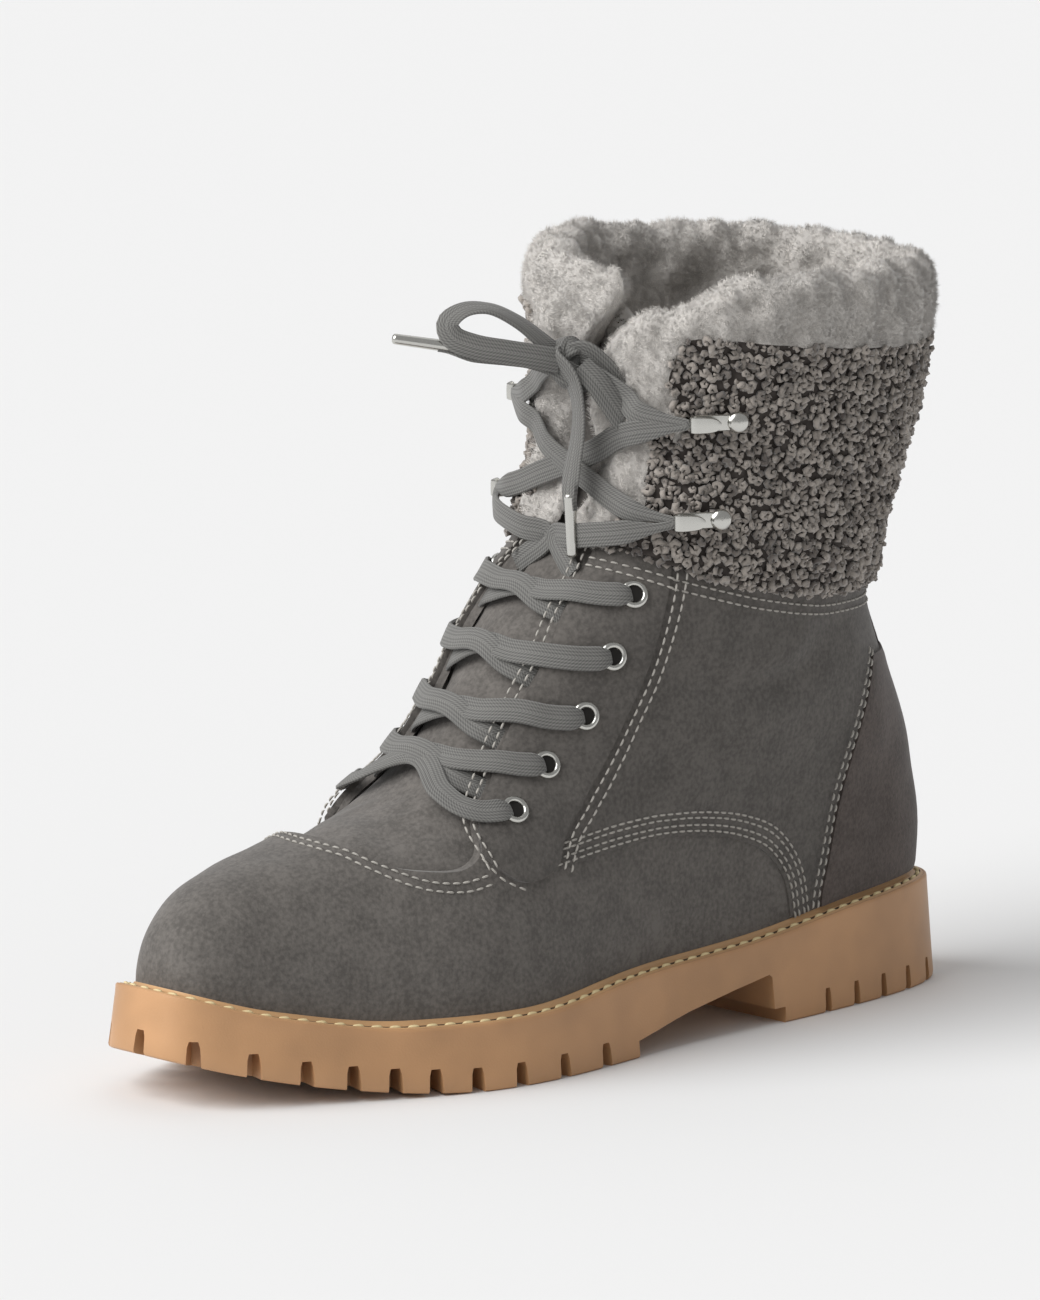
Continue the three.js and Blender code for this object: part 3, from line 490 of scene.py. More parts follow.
def suede_material(name, colour):
    """Brushed suede: matt, with short nap that lies in soft patches and catches light at grazing angles."""
    material, tree, shader = blank(name)
    spot = node(tree, "ShaderNodeTexCoord").outputs["Object"]
    patches = node(tree, "ShaderNodeTexNoise", {"Vector": spot, "Scale": per(9), "Detail": 4})
    # Real nap is about 0.3 mm long. It is drawn at 1.3 mm, so that it shows.
    nap = node(tree, "ShaderNodeTexNoise", {"Vector": spot, "Scale": per(1.3), "Detail": 3})
    spread = node(tree, "ShaderNodeMath", {0: nap, 1: 0.62}, operation="MULTIPLY")
    tone = node(tree, "ShaderNodeMath", {0: patches, 1: 0.38, 2: spread}, operation="MULTIPLY_ADD")
    stops = ((0.38, shaded(colour, 0.88)), (0.62, shaded(colour, 1.1)))
    tint = node(tree, "ShaderNodeValToRGB", {"Fac": tone}, stops)
    grain = node(tree, "ShaderNodeTexNoise", {"Vector": spot, "Scale": per(0.7), "Detail": 3})
    bump = node(tree, "ShaderNodeBump", {"Height": grain, "Strength": 1.0, "Distance": 0.12 * MM})
    feed(shader, {"Base Color": tint, "Roughness": 0.93, "Specular IOR Level": 0.2, "Normal": bump})
    feed(shader, {"Sheen Weight": 0.28, "Sheen Roughness": 0.45})
    return material


def wool_material(name, deep, tip, size):
    """Sheepskin wool: matt fibres, paler at their tips, that scatter light softly."""
    material, tree, shader = blank(name)
    spot = node(tree, "ShaderNodeTexCoord").outputs["Object"]
    shade = node(tree, "ShaderNodeAttribute", attribute_name="shade").outputs["Fac"]
    lumps = node(tree, "ShaderNodeTexNoise", {"Vector": spot, "Scale": per(size), "Detail": 3})
    tone = node(tree, "ShaderNodeMath", {0: lumps, 1: shade}, operation="ADD")
    tint = node(tree, "ShaderNodeValToRGB", {"Fac": tone}, ((0.35, deep), (1.25, tip)))
    # Single fibres, about 0.03 mm across, are too fine to show. The relief is that of 0.5 mm strands.
    strands = node(tree, "ShaderNodeTexNoise", {"Vector": spot, "Scale": per(0.5), "Detail": 2})
    bump = node(tree, "ShaderNodeBump", {"Height": strands, "Strength": 1.0, "Distance": 0.25 * MM})
    feed(shader, {"Base Color": tint, "Roughness": 0.95, "Specular IOR Level": 0.15, "Normal": bump})
    feed(shader, {"Sheen Weight": 0.35, "Sheen Roughness": 0.6})
    return material


def fibre_material(name, deep, tip):
    """Fine wool fibres, which shade on both faces like the surface that they stand on."""
    material, tree, shader = blank(name)
    shade = node(tree, "ShaderNodeAttribute", attribute_name="shade").outputs["Fac"]
    outward_way = node(tree, "ShaderNodeAttribute", attribute_name="outward").outputs["Vector"]
    tint = node(tree, "ShaderNodeValToRGB", {"Fac": shade}, ((0.0, deep), (1.0, tip)))
    feed(shader, {"Base Color": tint, "Roughness": 1.0, "Specular IOR Level": 0.0, "Normal": outward_way})
    return material


def plain_material(name, colour, roughness, metallic=0.0):
    """One even finish, for thread, metal and whatever shows too little to need a pattern."""
    material, _, shader = blank(name)
    feed(shader, {"Base Color": linear(colour), "Roughness": roughness, "Metallic": metallic})
    return material


def rubber_material(name, colour):
    """Moulded gum rubber: satin, faintly clouded, with the mould's fine grain."""
    material, tree, shader = blank(name)
    spot = node(tree, "ShaderNodeTexCoord").outputs["Object"]
    cloud = node(tree, "ShaderNodeTexNoise", {"Vector": spot, "Scale": per(22), "Detail": 2})
    stops = ((0.35, shaded(colour, 0.95)), (0.65, shaded(colour, 1.04)))
    tint = node(tree, "ShaderNodeValToRGB", {"Fac": cloud}, stops)
    # The mould's real grain is too fine to show, and is drawn at 0.6 mm.
    grain = node(tree, "ShaderNodeTexNoise", {"Vector": spot, "Scale": per(0.6), "Detail": 2})
    bump = node(tree, "ShaderNodeBump", {"Height": grain, "Strength": 1.0, "Distance": 0.05 * MM})
    feed(shader, {"Base Color": tint, "Roughness": 0.42, "Specular IOR Level": 0.5, "Normal": bump})
    return material


def lace_material(name, colour):
    """Flat woven polyester: ribs along the lace, crossed by the chevrons of its weave."""
    rib = 0.95  # mm; a real rib measures about half of that, and it is drawn coarser so that it shows
    material, tree, shader = blank(name)
    uv = node(tree, "ShaderNodeUVMap", uv_map="UVMap")
    parts = node(tree, "ShaderNodeSeparateXYZ", {"Vector": uv})
    across = node(tree, "ShaderNodeMath", {0: parts.outputs["Y"]}, operation="ABSOLUTE")

    def wave(value):
        turn = node(tree, "ShaderNodeMath", {0: value, 1: 2 * np.pi / (rib * MM)}, operation="MULTIPLY")
        return node(tree, "ShaderNodeMath", {0: turn}, operation="SINE")

    slanted = node(tree, "ShaderNodeMath", {0: parts.outputs["X"], 1: across}, operation="ADD")
    weave = node(tree, "ShaderNodeMath", {0: wave(across), 1: wave(slanted)}, operation="ADD")
    relief = node(tree, "ShaderNodeMath", {0: weave, 1: 0.25, 2: 0.5}, operation="MULTIPLY_ADD")
    # The weave's troughs are painted darker and its ribs paler: painted shade and highlight of the relief,
    # beside its bump.
    stops = ((0.1, shaded(colour, 0.76)), (0.9, shaded(colour, 1.14)))
    tint = node(tree, "ShaderNodeValToRGB", {"Fac": relief}, stops)
    bump = node(tree, "ShaderNodeBump", {"Height": relief, "Strength": 1.0, "Distance": 0.14 * MM})
    feed(shader, {"Base Color": tint, "Roughness": 0.82, "Sheen Weight": 0.2, "Normal": bump})
    return material


FINISHES = {}


def finishes():
    """The boot's materials, made once."""
    if not FINISHES:
        c = bpy.context.scene.boot_colours
        FINISHES.update(
            suede=suede_material("brushed_suede", c.suede),
            # The quarters and facings take the same suede 7 percent darker, as painted shade.
            shaft_suede=suede_material("nap_down_suede", shaded(c.suede, 0.93)),
            dark_suede=suede_material("dark_brushed_suede", c.dark_suede),
            tongue=suede_material("tongue_suede", c.tongue),
            pelt=wool_material("curly_wool", c.pelt_shadow, c.pelt, 5),
            # The hide between the curls is painted shade: the pelt's shadow colour, darker still.
            pelt_root=plain_material("pelt_roots", shaded(c.pelt_shadow, 0.84), 0.95),
            fleece=wool_material("shorn_fleece", shaded(c.fleece, 0.8), shaded(c.fleece, 0.92), 7),
            fibre=fibre_material("fleece_fibre", shaded(c.fleece, 0.88), c.fleece),
            lace=lace_material("woven_lace", c.lace),
            thread=plain_material("twisted_thread", c.thread, 0.7),
            welt_thread=plain_material("waxed_thread", c.welt_thread, 0.6),
            rubber=rubber_material("moulded_gum_rubber", c.rubber),
            welt=rubber_material("pale_gum_rubber", c.welt),
            # The welt's colour at 42 percent, as painted shade in the channel under its stitches.
            groove=plain_material("welt_groove", shaded(c.welt, 0.42), 0.8),
            metal=plain_material("plated_nickel", c.metal, 0.24, 1.0),
            # Near black, as painted shade inside the eyelets' holes.
            hole=plain_material("dark_hole", srgb("#15120f"), 0.9),
        )
    return FINISHES


# ---- Geometry Nodes for what repeats ----
def new_group(name, sockets):
    tree = bpy.data.node_groups.new(name, "GeometryNodeTree")
    tree.interface.new_socket("Geometry", in_out="INPUT", socket_type="NodeSocketGeometry")
    for label, kind in sockets:
        tree.interface.new_socket(label, in_out="INPUT", socket_type="NodeSocket" + kind)
    tree.interface.new_socket("Geometry", in_out="OUTPUT", socket_type="NodeSocketGeometry")
    return tree, node(tree, "NodeGroupInput")


def close_group(tree, start, geometry):
    """Realizes the copies, gives them their material and ends the tree."""
    real = node(tree, "GeometryNodeRealizeInstances", {"Geometry": geometry})
    coat = {"Geometry": real, "Material": start.outputs["Material"]}
    node(tree, "NodeGroupOutput", {"Geometry": node(tree, "GeometryNodeSetMaterial", coat)})
    return tree


def scatter_tree():
    """Copies of a shape, scattered over faces, each turned and sized at random. They keep their shade
    and the normal of the surface that they stand on."""
    sockets = (("Spacing", "Float"), ("Smallest", "Float"), ("Largest", "Float"), ("Tilt", "Float"))
    tree, start = new_group("scattered_wool", (*sockets, ("Shape", "Object"), ("Material", "Material")))
    faces, gap = start.outputs["Geometry"], start.outputs["Spacing"]
    points = node(
        tree,
        "GeometryNodeDistributePointsOnFaces",
        {"Mesh": faces, "Distance Min": gap, "Density Max": 1e6, "Seed": 7},
        distribute_method="POISSON",
    )
    tilt = start.outputs["Tilt"]
    low = node(tree, "ShaderNodeMath", {0: tilt, 1: -1.0}, operation="MULTIPLY")
    lows = node(tree, "ShaderNodeCombineXYZ", {"X": low, "Y": low, "Z": -3.1416})
    highs = node(tree, "ShaderNodeCombineXYZ", {"X": tilt, "Y": tilt, "Z": 3.1416})
    spin = node(tree, "FunctionNodeRandomValue", {0: lows, 1: highs, "Seed": 3}, data_type="FLOAT_VECTOR")
    turned = node(
        tree,
        "FunctionNodeRotateRotation",
        {"Rotation": points.outputs["Rotation"], "Rotate By": spin},
        rotation_space="LOCAL",
    )
    sizes = {2: start.outputs["Smallest"], 3: start.outputs["Largest"], "Seed": 5}
    size = node(tree, "FunctionNodeRandomValue", sizes, data_type="FLOAT")
    shape = node(tree, "GeometryNodeObjectInfo", {"Object": start.outputs["Shape"]})
    standing = node(
        tree,
        "GeometryNodeStoreNamedAttribute",
        {"Geometry": points.outputs["Points"], "Name": "lie", "Value": points.outputs["Normal"]},
        data_type="FLOAT_VECTOR",
        domain="POINT",
    )
    surface = node(tree, "GeometryNodeInputNamedAttribute", {"Name": "lie"}, data_type="FLOAT_VECTOR")
    copies = node(
        tree,
        "GeometryNodeInstanceOnPoints",
        {
            "Points": standing,
            "Instance": shape.outputs["Geometry"],
            "Rotation": turned,
            "Scale": size.outputs[1],
        },
    )
    shade = node(tree, "FunctionNodeRandomValue", {"Seed": 11}, data_type="FLOAT")
    toned = node(
        tree,
        "GeometryNodeStoreNamedAttribute",
        {"Geometry": copies, "Name": "shade", "Value": shade.outputs[1]},
        data_type="FLOAT",
        domain="INSTANCE",
    )
    facing = node(
        tree,
        "GeometryNodeStoreNamedAttribute",
        {"Geometry": toned, "Name": "outward", "Value": surface},
        data_type="FLOAT_VECTOR",
        domain="INSTANCE",
    )
    return close_group(tree, start, facing)


def stitch_tree():
    """Copies of a stitch along edges, a pitch apart, each lying on the surface."""
    sockets = (("Pitch", "Float"), ("Shape", "Object"), ("Material", "Material"))
    tree, start = new_group("running_stitches", sockets)
    curve = node(tree, "GeometryNodeMeshToCurve", {"Mesh": start.outputs["Geometry"]})
    steps = {"Curve": curve, "Length": start.outputs["Pitch"]}
    even = node(tree, "GeometryNodeResampleCurve", steps, mode="LENGTH")
    out = node(tree, "GeometryNodeInputNamedAttribute", {"Name": "outward"}, data_type="FLOAT_VECTOR")
    stand = node(tree, "FunctionNodeAlignRotationToVector", {"Vector": out}, axis="Z")
    lie = node(
        tree,
        "FunctionNodeAlignRotationToVector",
        {"Rotation": stand, "Vector": node(tree, "GeometryNodeInputTangent")},
        axis="X",
        pivot_axis="Z",
    )
    shape = node(tree, "GeometryNodeObjectInfo", {"Object": start.outputs["Shape"]})
    places = {"Points": even, "Instance": shape.outputs["Geometry"], "Rotation": lie}
    return close_group(tree, start, node(tree, "GeometryNodeInstanceOnPoints", places))


TREES = {}


def repeat(made, kind, inputs):
    """Runs one of the trees on an object and keeps the plain mesh that comes out."""
    if kind not in TREES:
        TREES[kind] = {"scatter": scatter_tree, "stitch": stitch_tree}[kind]()
    modifier = made.modifiers.new(kind, "NODES")
    modifier.node_group = TREES[kind]
    for item in TREES[kind].interface.items_tree:
        if item.item_type == "SOCKET" and item.in_out == "INPUT" and item.name in inputs:
            modifier[item.identifier] = inputs[item.name]
    return flatten(made)


# ---- Lines on the upper, by station and height ----
THROAT = (
    (224.5, 69), (220.5, 65), (215, 61.5), (206, 59.5), (196, 59.5), (190, 63), (187, 70), (177, 81.5),
    (160, 104), (147.5, 122.5), (134, 138), (124.5, 151), (119, 167),
)
FACING = THROAT[5:]
WING = (
    (180, 54.5), (164, 56), (145, 58), (126, 59), (108, 57.5), (93, 54), (81, 48.5), (73.5, 40), (70, 29),
    (69.5, 20),
)
EYESTAY_REAR = (
    (114, 150), (118, 137), (123.5, 122), (129, 109), (136, 96.5), (144, 84), (153, 73.5), (161.5, 65),
    (165.5, 57.5),
)
EYESTAY_FOOT = ((165.5, 57.5), (172, 54.5), (180, 54.5), (186, 58), (189, 61.5))
COUNTER_FRONT = ((58, 20), (57.5, 32), (53.5, 49), (48.5, 68), (39, 94), (37, 99))
CUFF_EDGE = {"station": (0, 25, 60, 85, 112, 145), "height": (118, 119, 121, 125.5, 133, 143.5)}
CUFF_RIM = {"station": (0, 60, 105, 140), "lateral": (211, 214, 214, 210), "medial": (212, 217, 221, 219)}
CORNER_DROP, CORNER_TURN = {1: 7.5, -1: 4.0}, 0.5
EYELETS = ((176, 72.5), (162, 83.4), (149, 96.2), (139.5, 112), (130.5, 128))
HOOKS = ((109.5, 149), (103, 176))
# Soft creases: side, breadth, depth and the line each follows. A positive depth is a trough.
CREASES = (
    (1, 5.0, 0.9, ((60, 104), (84, 98), (106, 101), (122, 108))),
    (1, 4.0, -0.5, ((62, 112), (86, 106.5), (108, 109), (120, 115))),
    (1, 6.0, 0.8, ((34, 108), (52, 112), (72, 113))),
    (1, 5.0, 0.7, ((96, 78), (114, 80), (132, 76), (146, 68))),
    (1, 4.5, 0.5, ((168, 47), (184, 50), (200, 53), (213, 60))),
    (1, 5.0, 0.6, ((205, 46), (219, 52), (232, 62))),
    (-1, 5.0, 0.9, ((58, 102), (82, 97), (104, 100), (120, 108))),
    (-1, 5.0, 0.8, ((30, 106), (50, 111), (70, 112))),
    (-1, 5.0, 0.7, ((94, 76), (112, 79), (130, 76), (144, 68))),
    (-1, 4.5, 0.5, ((166, 46), (184, 49), (200, 53), (213, 60))),
    (-1, 5.0, 0.6, ((205, 46), (219, 52), (232, 62))),
)


def waves(points, size, seed, count=9):
    """Soft lumps of about a size, the same at every run."""
    draw = np.random.default_rng(seed)
    total = 0
    for _ in range(count):
        way = draw.normal(size=3)
        way *= 2 * np.pi / (size * draw.uniform(0.8, 1.5)) / np.linalg.norm(way)
        total = total + np.sin(points @ way + draw.uniform(0, 6.283))
    return total / count**0.5


def nearest(points, line):
    """Distance from each point to a line's points."""
    flat = points.reshape(-1, 3)
    gap = np.full(len(flat), np.inf)
    for part in np.array_split(line, max(1, len(line) // 40)):
        gap = np.minimum(gap, np.linalg.norm(flat[:, None] - part[None], axis=-1).min(axis=1))
    return gap.reshape(points.shape[:-1])


def on_side(side, rows, per=14):
    """A smooth line over the shell through (station, height) rows: turns and levels."""
    return np.stack(to_shell(side, through(rows, per)), -1)


def crease():
    """Presses the soft creases and the leather's unevenness into the shell."""
    global SHELL, NORMALS
    relief = 0.35 * waves(SHELL, 42, 4) + 0.12 * waves(SHELL, 17, 9)
    for side, wide, deep, rows in CREASES:
        path = on_side(side, rows)
        line, _ = off_shell(path[:, 0], path[:, 1])
        ends = 1 - np.abs(np.linspace(-1, 1, len(line))) ** 3
        flat = SHELL.reshape(-1, 3)
        gaps = np.linalg.norm(flat[:, None] - line[None], axis=-1)
        close = gaps.argmin(axis=1)
        gap = gaps[np.arange(len(flat)), close]
        shape = np.exp(-((gap / wide) ** 2)) - 0.45 * np.exp(-(((gap - 1.7 * wide) / wide) ** 2))
        relief -= (deep * ends[close] * shape).reshape(relief.shape)
    relief *= smooth(level_grid / 0.06)  # none where the upper meets the sole
    SHELL = SHELL + NORMALS * relief[..., None]
    NORMALS = normals(SHELL)


def beside(path, gap):
    """The same line over the shell moved to its left, seen from outside, by a gap in millimetres."""
    turn, level = path[:, 0], path[:, 1]
    step = 2e-3
    here, normal = off_shell(turn, level)
    by_turn = (off_shell(turn + step, level)[0] - here) / step
    by_level = (off_shell(turn, level + step)[0] - here) / step
    way = np.gradient(here, axis=0)
    left = np.cross(normal, way)
    left *= gap / np.maximum(np.linalg.norm(left, axis=-1, keepdims=True), 1e-9)
    a, b, c = ((by_turn**2).sum(-1), (by_turn * by_level).sum(-1), (by_level**2).sum(-1))
    p, q = (left * by_turn).sum(-1), (left * by_level).sum(-1)
    det = a * c - b * b
    return np.stack([turn + (c * p - b * q) / det, level + (a * q - b * p) / det], -1)


ACROSS, UPWARDS = 170.0, 190.0  # rough millimetres to a unit of turn and of level


def panel(name, outline, trim, finish):
    """A piece of suede on the shell, its outline in turns and levels, its edge cut square and softened."""
    thick, grow = trim
    fine = 1.7  # from point to point inside the outline
    scale = np.array([ACROSS, UPWARDS])
    steps = int(length_of(outline * scale) / 1.1)
    flat = along(np.vstack([outline, outline[:1]]) * scale, np.linspace(0, 1, steps))[:-1]
    low, high = flat.min(axis=0), flat.max(axis=0)
    grid = np.stack(np.meshgrid(np.arange(low[0], high[0], fine), np.arange(low[1], high[1], fine)), -1)
    grid[1::2, :, 0] += fine / 2
    grid = grid.reshape(-1, 2)
    inside = np.zeros(len(grid), bool)
    near = np.full(len(grid), np.inf)
    for (ax, ay), (bx, by) in zip(flat, np.roll(flat, -1, axis=0)):
        crosses = (ay > grid[:, 1]) != (by > grid[:, 1])
        slope = (bx - ax) / (by - ay if by != ay else 1e-9)
        inside ^= crosses & (grid[:, 0] < ax + (grid[:, 1] - ay) * slope)
        near = np.minimum(near, (grid[:, 0] - ax) ** 2 + (grid[:, 1] - ay) ** 2)
    grid = grid[inside & (near > (0.55 * fine) ** 2)]
    corners = [Vector(p) for p in np.vstack([flat, grid])]
    verts, _, faces, *_ = delaunay_2d_cdt(corners, [], [list(range(len(flat)))], 1, 1e-4)
    spots = np.array([tuple(v) for v in verts]) / scale
    edge, _ = off_shell(flat[:, 0] / scale[0], flat[:, 1] / scale[1])
    base, _ = off_shell(spots[:, 0], spots[:, 1])
    gap = nearest(base, edge)
    out = grow + thick * (0.72 + 0.28 * np.clip(gap / 1.4, 0, 1) ** 0.5)
    top, _ = off_shell(spots[:, 0], spots[:, 1], out)
    border = [i for i, g in enumerate(gap) if g < 1e-3]
    used = {i: n for n, i in enumerate(border)}
    skirt, _ = off_shell(spots[border, 0], spots[border, 1], np.full(len(border), -0.5))
    faces = [tuple(f) for f in faces]
    edges = {}
    for f in faces:
        for a, b in zip(f, (*f[1:], f[0])):
            edges[(a, b)] = edges.get((a, b), 0) + 1
    walls = [
        (b, a, len(top) + used[a], len(top) + used[b])
        for a, b in edges
        if (b, a) not in edges and a in used and b in used
    ]
    made = mesh_object(name, np.vstack([top, skirt]), faces + walls, [finishes()[finish]], 50)
    turn_out(made)
    return made


def turn_out(made):
    """Turns a sheet's faces to look away from the leg's axis if most look inwards."""
    mesh = made.data
    if sum(p.normal.dot(p.center - Vector((0, 0.02, p.center.z))) * p.area for p in mesh.polygons) < 0:
        mesh.flip_normals()


def stitch_lines(name, paths, lift, pitch, finish, shape):
    """Rows of stitches over the shell; each path is turns and levels."""
    points, normals_out, edges = [], [], []
    scale = np.array([ACROSS, UPWARDS])
    for path in paths:
        steps = max(3, int(length_of(path * scale) / 1.2))
        even = along(path * scale, np.linspace(0, 1, steps)) / scale
        line, normal = off_shell(even[:, 0], even[:, 1], np.full(len(even), lift))
        edges += [(len(points) + i, len(points) + i + 1) for i in range(len(line) - 1)]
        points += line.tolist()
        normals_out += normal.tolist()
    return stitched(name, points, normals_out, edges, pitch, finish, shape)


def stitched(name, points, normals_out, edges, pitch, finish, shape):
    """Stitches a pitch apart along lines whose points know the way out of the surface."""
    mesh = bpy.data.meshes.new(name)
    mesh.from_pydata((np.asarray(points) * MM).tolist(), edges, [])
    kept = mesh.attributes.new("outward", "FLOAT_VECTOR", "POINT")
    kept.data.foreach_set("vector", np.asarray(normals_out, float).ravel())
    made = bpy.data.objects.new(name, mesh)
    bpy.context.scene.collection.objects.link(made)
    repeat(made, "stitch", {"Pitch": pitch, "Shape": shape, "Material": finishes()[finish]})
    made.data.shade_smooth()
    return made


SHAPES = {}


def small_shape(name, points, faces):
    """A shape to be repeated, kept out of the scene."""
    if name not in SHAPES:
        mesh = bpy.data.meshes.new(name)
        mesh.from_pydata((np.asarray(points, float) * MM).tolist(), [], faces)
        mesh.shade_smooth()
        SHAPES[name] = bpy.data.objects.new(name, mesh)
    return SHAPES[name]


def stitch_shape(name, long, thick):
    """A stitch: a short thread that dips at both ends."""
    rings = []
    for share in np.linspace(-1, 1, 6):
        turn = np.linspace(0, 2 * np.pi, 7)[:-1]
        radius = thick / 2 * (1 - 0.55 * share**4)
        x, dip = np.full(6, share * long / 2), thick * 0.35 * share**4
        rings.append(np.stack([x, radius * np.cos(turn), radius * np.sin(turn) - dip], -1))
    return small_shape(name, np.vstack(rings), [f[::-1] for f in tube_faces(6, 6)])


def curl_shape():
    """One tight curl of the pelt: a short thick lock wound on itself."""
    rings = []
    for i, share in enumerate(np.linspace(0, 1, 7)):
        turn = share * 2 * np.pi * 1.15
        wide = 1.0 - 0.62 * share
        middle = np.array([wide * np.cos(turn), 0.85 * wide * np.sin(turn), 0.05 + 1.25 * share])
        outwards = np.array([np.cos(turn), np.sin(turn), 0])
        thick = 0.72 * (1 - 0.5 * abs(2 * share - 1) ** 3)
        for k in range(4):
            a = k * np.pi / 2 + i * 0.25
            rings.append(middle + thick * (np.cos(a) * outwards + np.sin(a) * np.array([0, 0, 1])))
    return small_shape("curl", rings, tube_faces(7, 4))


def tuft_shape():
    """One tuft of shorn fleece: a few fine fibres that part at their tips."""
    points, faces = [], []
    draw = np.random.default_rng(2)
    for _ in range(9):
        base = draw.uniform(-0.5, 0.5, 2)
        lean = draw.uniform(-0.8, 0.8, 2)
        side = draw.normal(size=2)
        side *= 0.1 / np.linalg.norm(side)
        start = len(points)
        points += [(*(base - side), -0.3), (*(base + side), -0.3), (*(base + lean), draw.uniform(0.9, 1.7))]
        faces.append((start, start + 1, start + 2))
    return small_shape("tuft", points, faces)


def ribbon(name, points, out, width, thick, finish, closed=False):
    """A flat band: points along it, the way its face looks, and its breadth, which may change along it."""
    points, out = np.asarray(points, float), np.asarray(out, float)
    if closed:
        way = unit(np.roll(points, -1, axis=0) - np.roll(points, 1, axis=0))
    else:
        way = unit(np.gradient(points, axis=0))
    out = unit(out - (out * way).sum(-1, keepdims=True) * way)
    across = np.cross(way, out)
    width = np.broadcast_to(np.asarray(width, float), len(points))[:, None]
    thick = np.broadcast_to(np.asarray(thick, float), len(points))[:, None]
    half = ((-1, 0), (-0.88, 0.85), (-0.36, 1), (0.36, 1), (0.88, 0.85))
    section = (*half, *((-a, -b) for a, b in half))
    rings = np.stack([points + across * width * a / 2 + out * thick * b / 2 for a, b in section], 1)
    count, sides = len(points), len(section)
    faces = grid_faces(count, sides, True, True) if closed else tube_faces(count, sides)
    made = mesh_object(name, rings, faces, [finishes()[finish]], 60)
    run = np.concatenate([[0], np.cumsum(np.linalg.norm(np.diff(points, axis=0), axis=1))])
    uv = made.data.uv_layers.new(name="UVMap")
    for loop in made.data.loops:
        ring, side = divmod(loop.vertex_index, sides)
        uv.data[loop.index].uv = (run[ring] * MM, section[side][0] * float(width[ring, 0]) / 2 * MM)
    return outward(made)


# ---- Leg, cuff and hooks ----
CENTRE_STATION = 76.0


def off_leg(angle, height, out):
    """Points off the shaft: angle runs from the back (0) by the lateral side to the front (pi)."""
    angle, height, out = np.broadcast_arrays(*(np.asarray(v, float) for v in (angle, height, out)))
    rear, fore = back.station_at(height), front.station_at(height)
    power = 2 / SHAFT_POWER

    def ring(a):
        c, s = np.cos(a), np.sin(a)
        at = (rear + fore) / 2 - (fore - rear) / 2 * np.sign(c) * np.abs(c) ** power
        return place(centre(at) + shaft_half(height) * np.sign(s) * np.abs(s) ** power, at, height)

    way = ring(angle + 0.02) - ring(angle - 0.02)
    normal = unit(np.stack([-way[..., 1], way[..., 0], np.zeros_like(out)], -1))
    return ring(angle) + normal * out[..., None]


def leg_angle(side, station, height):
    """The angle round the shaft at which a side passes a station."""
    angles = np.linspace(0, np.pi, 400)
    stations = LENGTH / 2 - off_leg(angles, height, 0)[:, 1]
    return side * float(np.interp(station, stations, angles))


cuff_edge = monotone(CUFF_EDGE["station"], CUFF_EDGE["height"])
cuff_rim = {side: monotone(CUFF_RIM["station"], CUFF_RIM[word]) for side, word in SIDES}


def cuff_points(angle):
    """The cuff's section at an angle, from its lower edge up, over the rim and down inside."""
    side = 1 if angle >= 0 else -1
    low = float(cuff_edge(LENGTH / 2 - off_leg(angle, 135, 0)[1]))
    corner = 1 - float(smooth((np.pi - abs(angle) - FLAP_ANGLE) / CORNER_TURN))
    rim = float(cuff_rim[side](LENGTH / 2 - off_leg(angle, CUFF_TOP, 0)[1])) - CORNER_DROP[side] * corner
    rows = (
        (0.6, low), (3.6, low + 0.4), (CUFF_THICK - 3, low + 7), (CUFF_THICK - 2, low + (rim - low) * 0.35),
        (CUFF_THICK - 0.8, low + (rim - low) * 0.7), (CUFF_THICK - 0.6, rim - 8), (CUFF_THICK - 2.6, rim - 2),
        (0.6, rim + 0.6), (-WALL + 0.5, rim - 2.2), (-WALL - 1.6, rim - 9), (-WALL - 1.8, rim - 20),
        (-WALL - 1, rim - 34),
    )
    return along(through(rows, 8), np.linspace(0, 1, 96)), low, rim


def frame_on(at, out, way):
    """Axes at a point: x along a direction, z outwards."""
    z = out / np.linalg.norm(out)
    y = np.cross(z, way)
    y /= np.linalg.norm(y)
    return at, np.cross(y, z), y, z


def on_frame(axes, rows):
    at, x, y, z = axes
    return np.array([at + x * a + y * b + z * c for a, b, c in rows])


# ---- Operators: the camera and the lace's free parts come first ----
KNOT_TURN, KNOT_HEIGHT = 0.04, 191.0
RIGHTWARD, TOWARDS = np.array([0.669, 0.743, 0]), np.array([0.731, -0.658, 0.18])
# Rows run to the right, up and towards the viewer, seen from the boot's front quarter.
BOW = {
    "lace_loop_left": (
        (-2, 1.5, 2), (-7, 6, 3.5), (-14, 11.5, 5), (-22, 15.2, 6), (-29, 14.8, 6.8), (-33.5, 11, 7.6),
        (-32, 7, 8.6), (-26, 4.4, 9.4), (-17, 2.8, 9.2), (-8, 1.4, 7.8), (-2.5, 0.4, 6),
    ),
    "lace_loop_right": (
        (1, 2.5, 2), (4.5, 3, 3), (9, -0.5, 3), (14, -6.5, 3.2), (18, -13.5, 3.8), (19.2, -18.3, 5.2),
        (17, -17.8, 7), (12.5, -11.8, 8), (8, -5.6, 8), (3.5, -1, 6.5),
    ),
    "lace_end_left": (
        (6, -3, -1), (5, -5, 3), (1, -3.5, 5), (-4, -0.5, 4.4), (-10, 1.5, 3.8), (-17, 2.5, 4.2),
        (-24, 3.2, 5), (-31, 4.2, 5.6), (-36, 4.9, 6),
    ),
    "lace_end_right": (
        (-4.5, 3.5, 1), (-4, 1, 5), (-1, -2, 7), (1.5, -6, 7.5), (3, -13, 8), (2.8, -21, 8.5),
        (1.5, -29, 9), (0.6, -36, 10), (0.8, -42, 10.5),
    ),
}
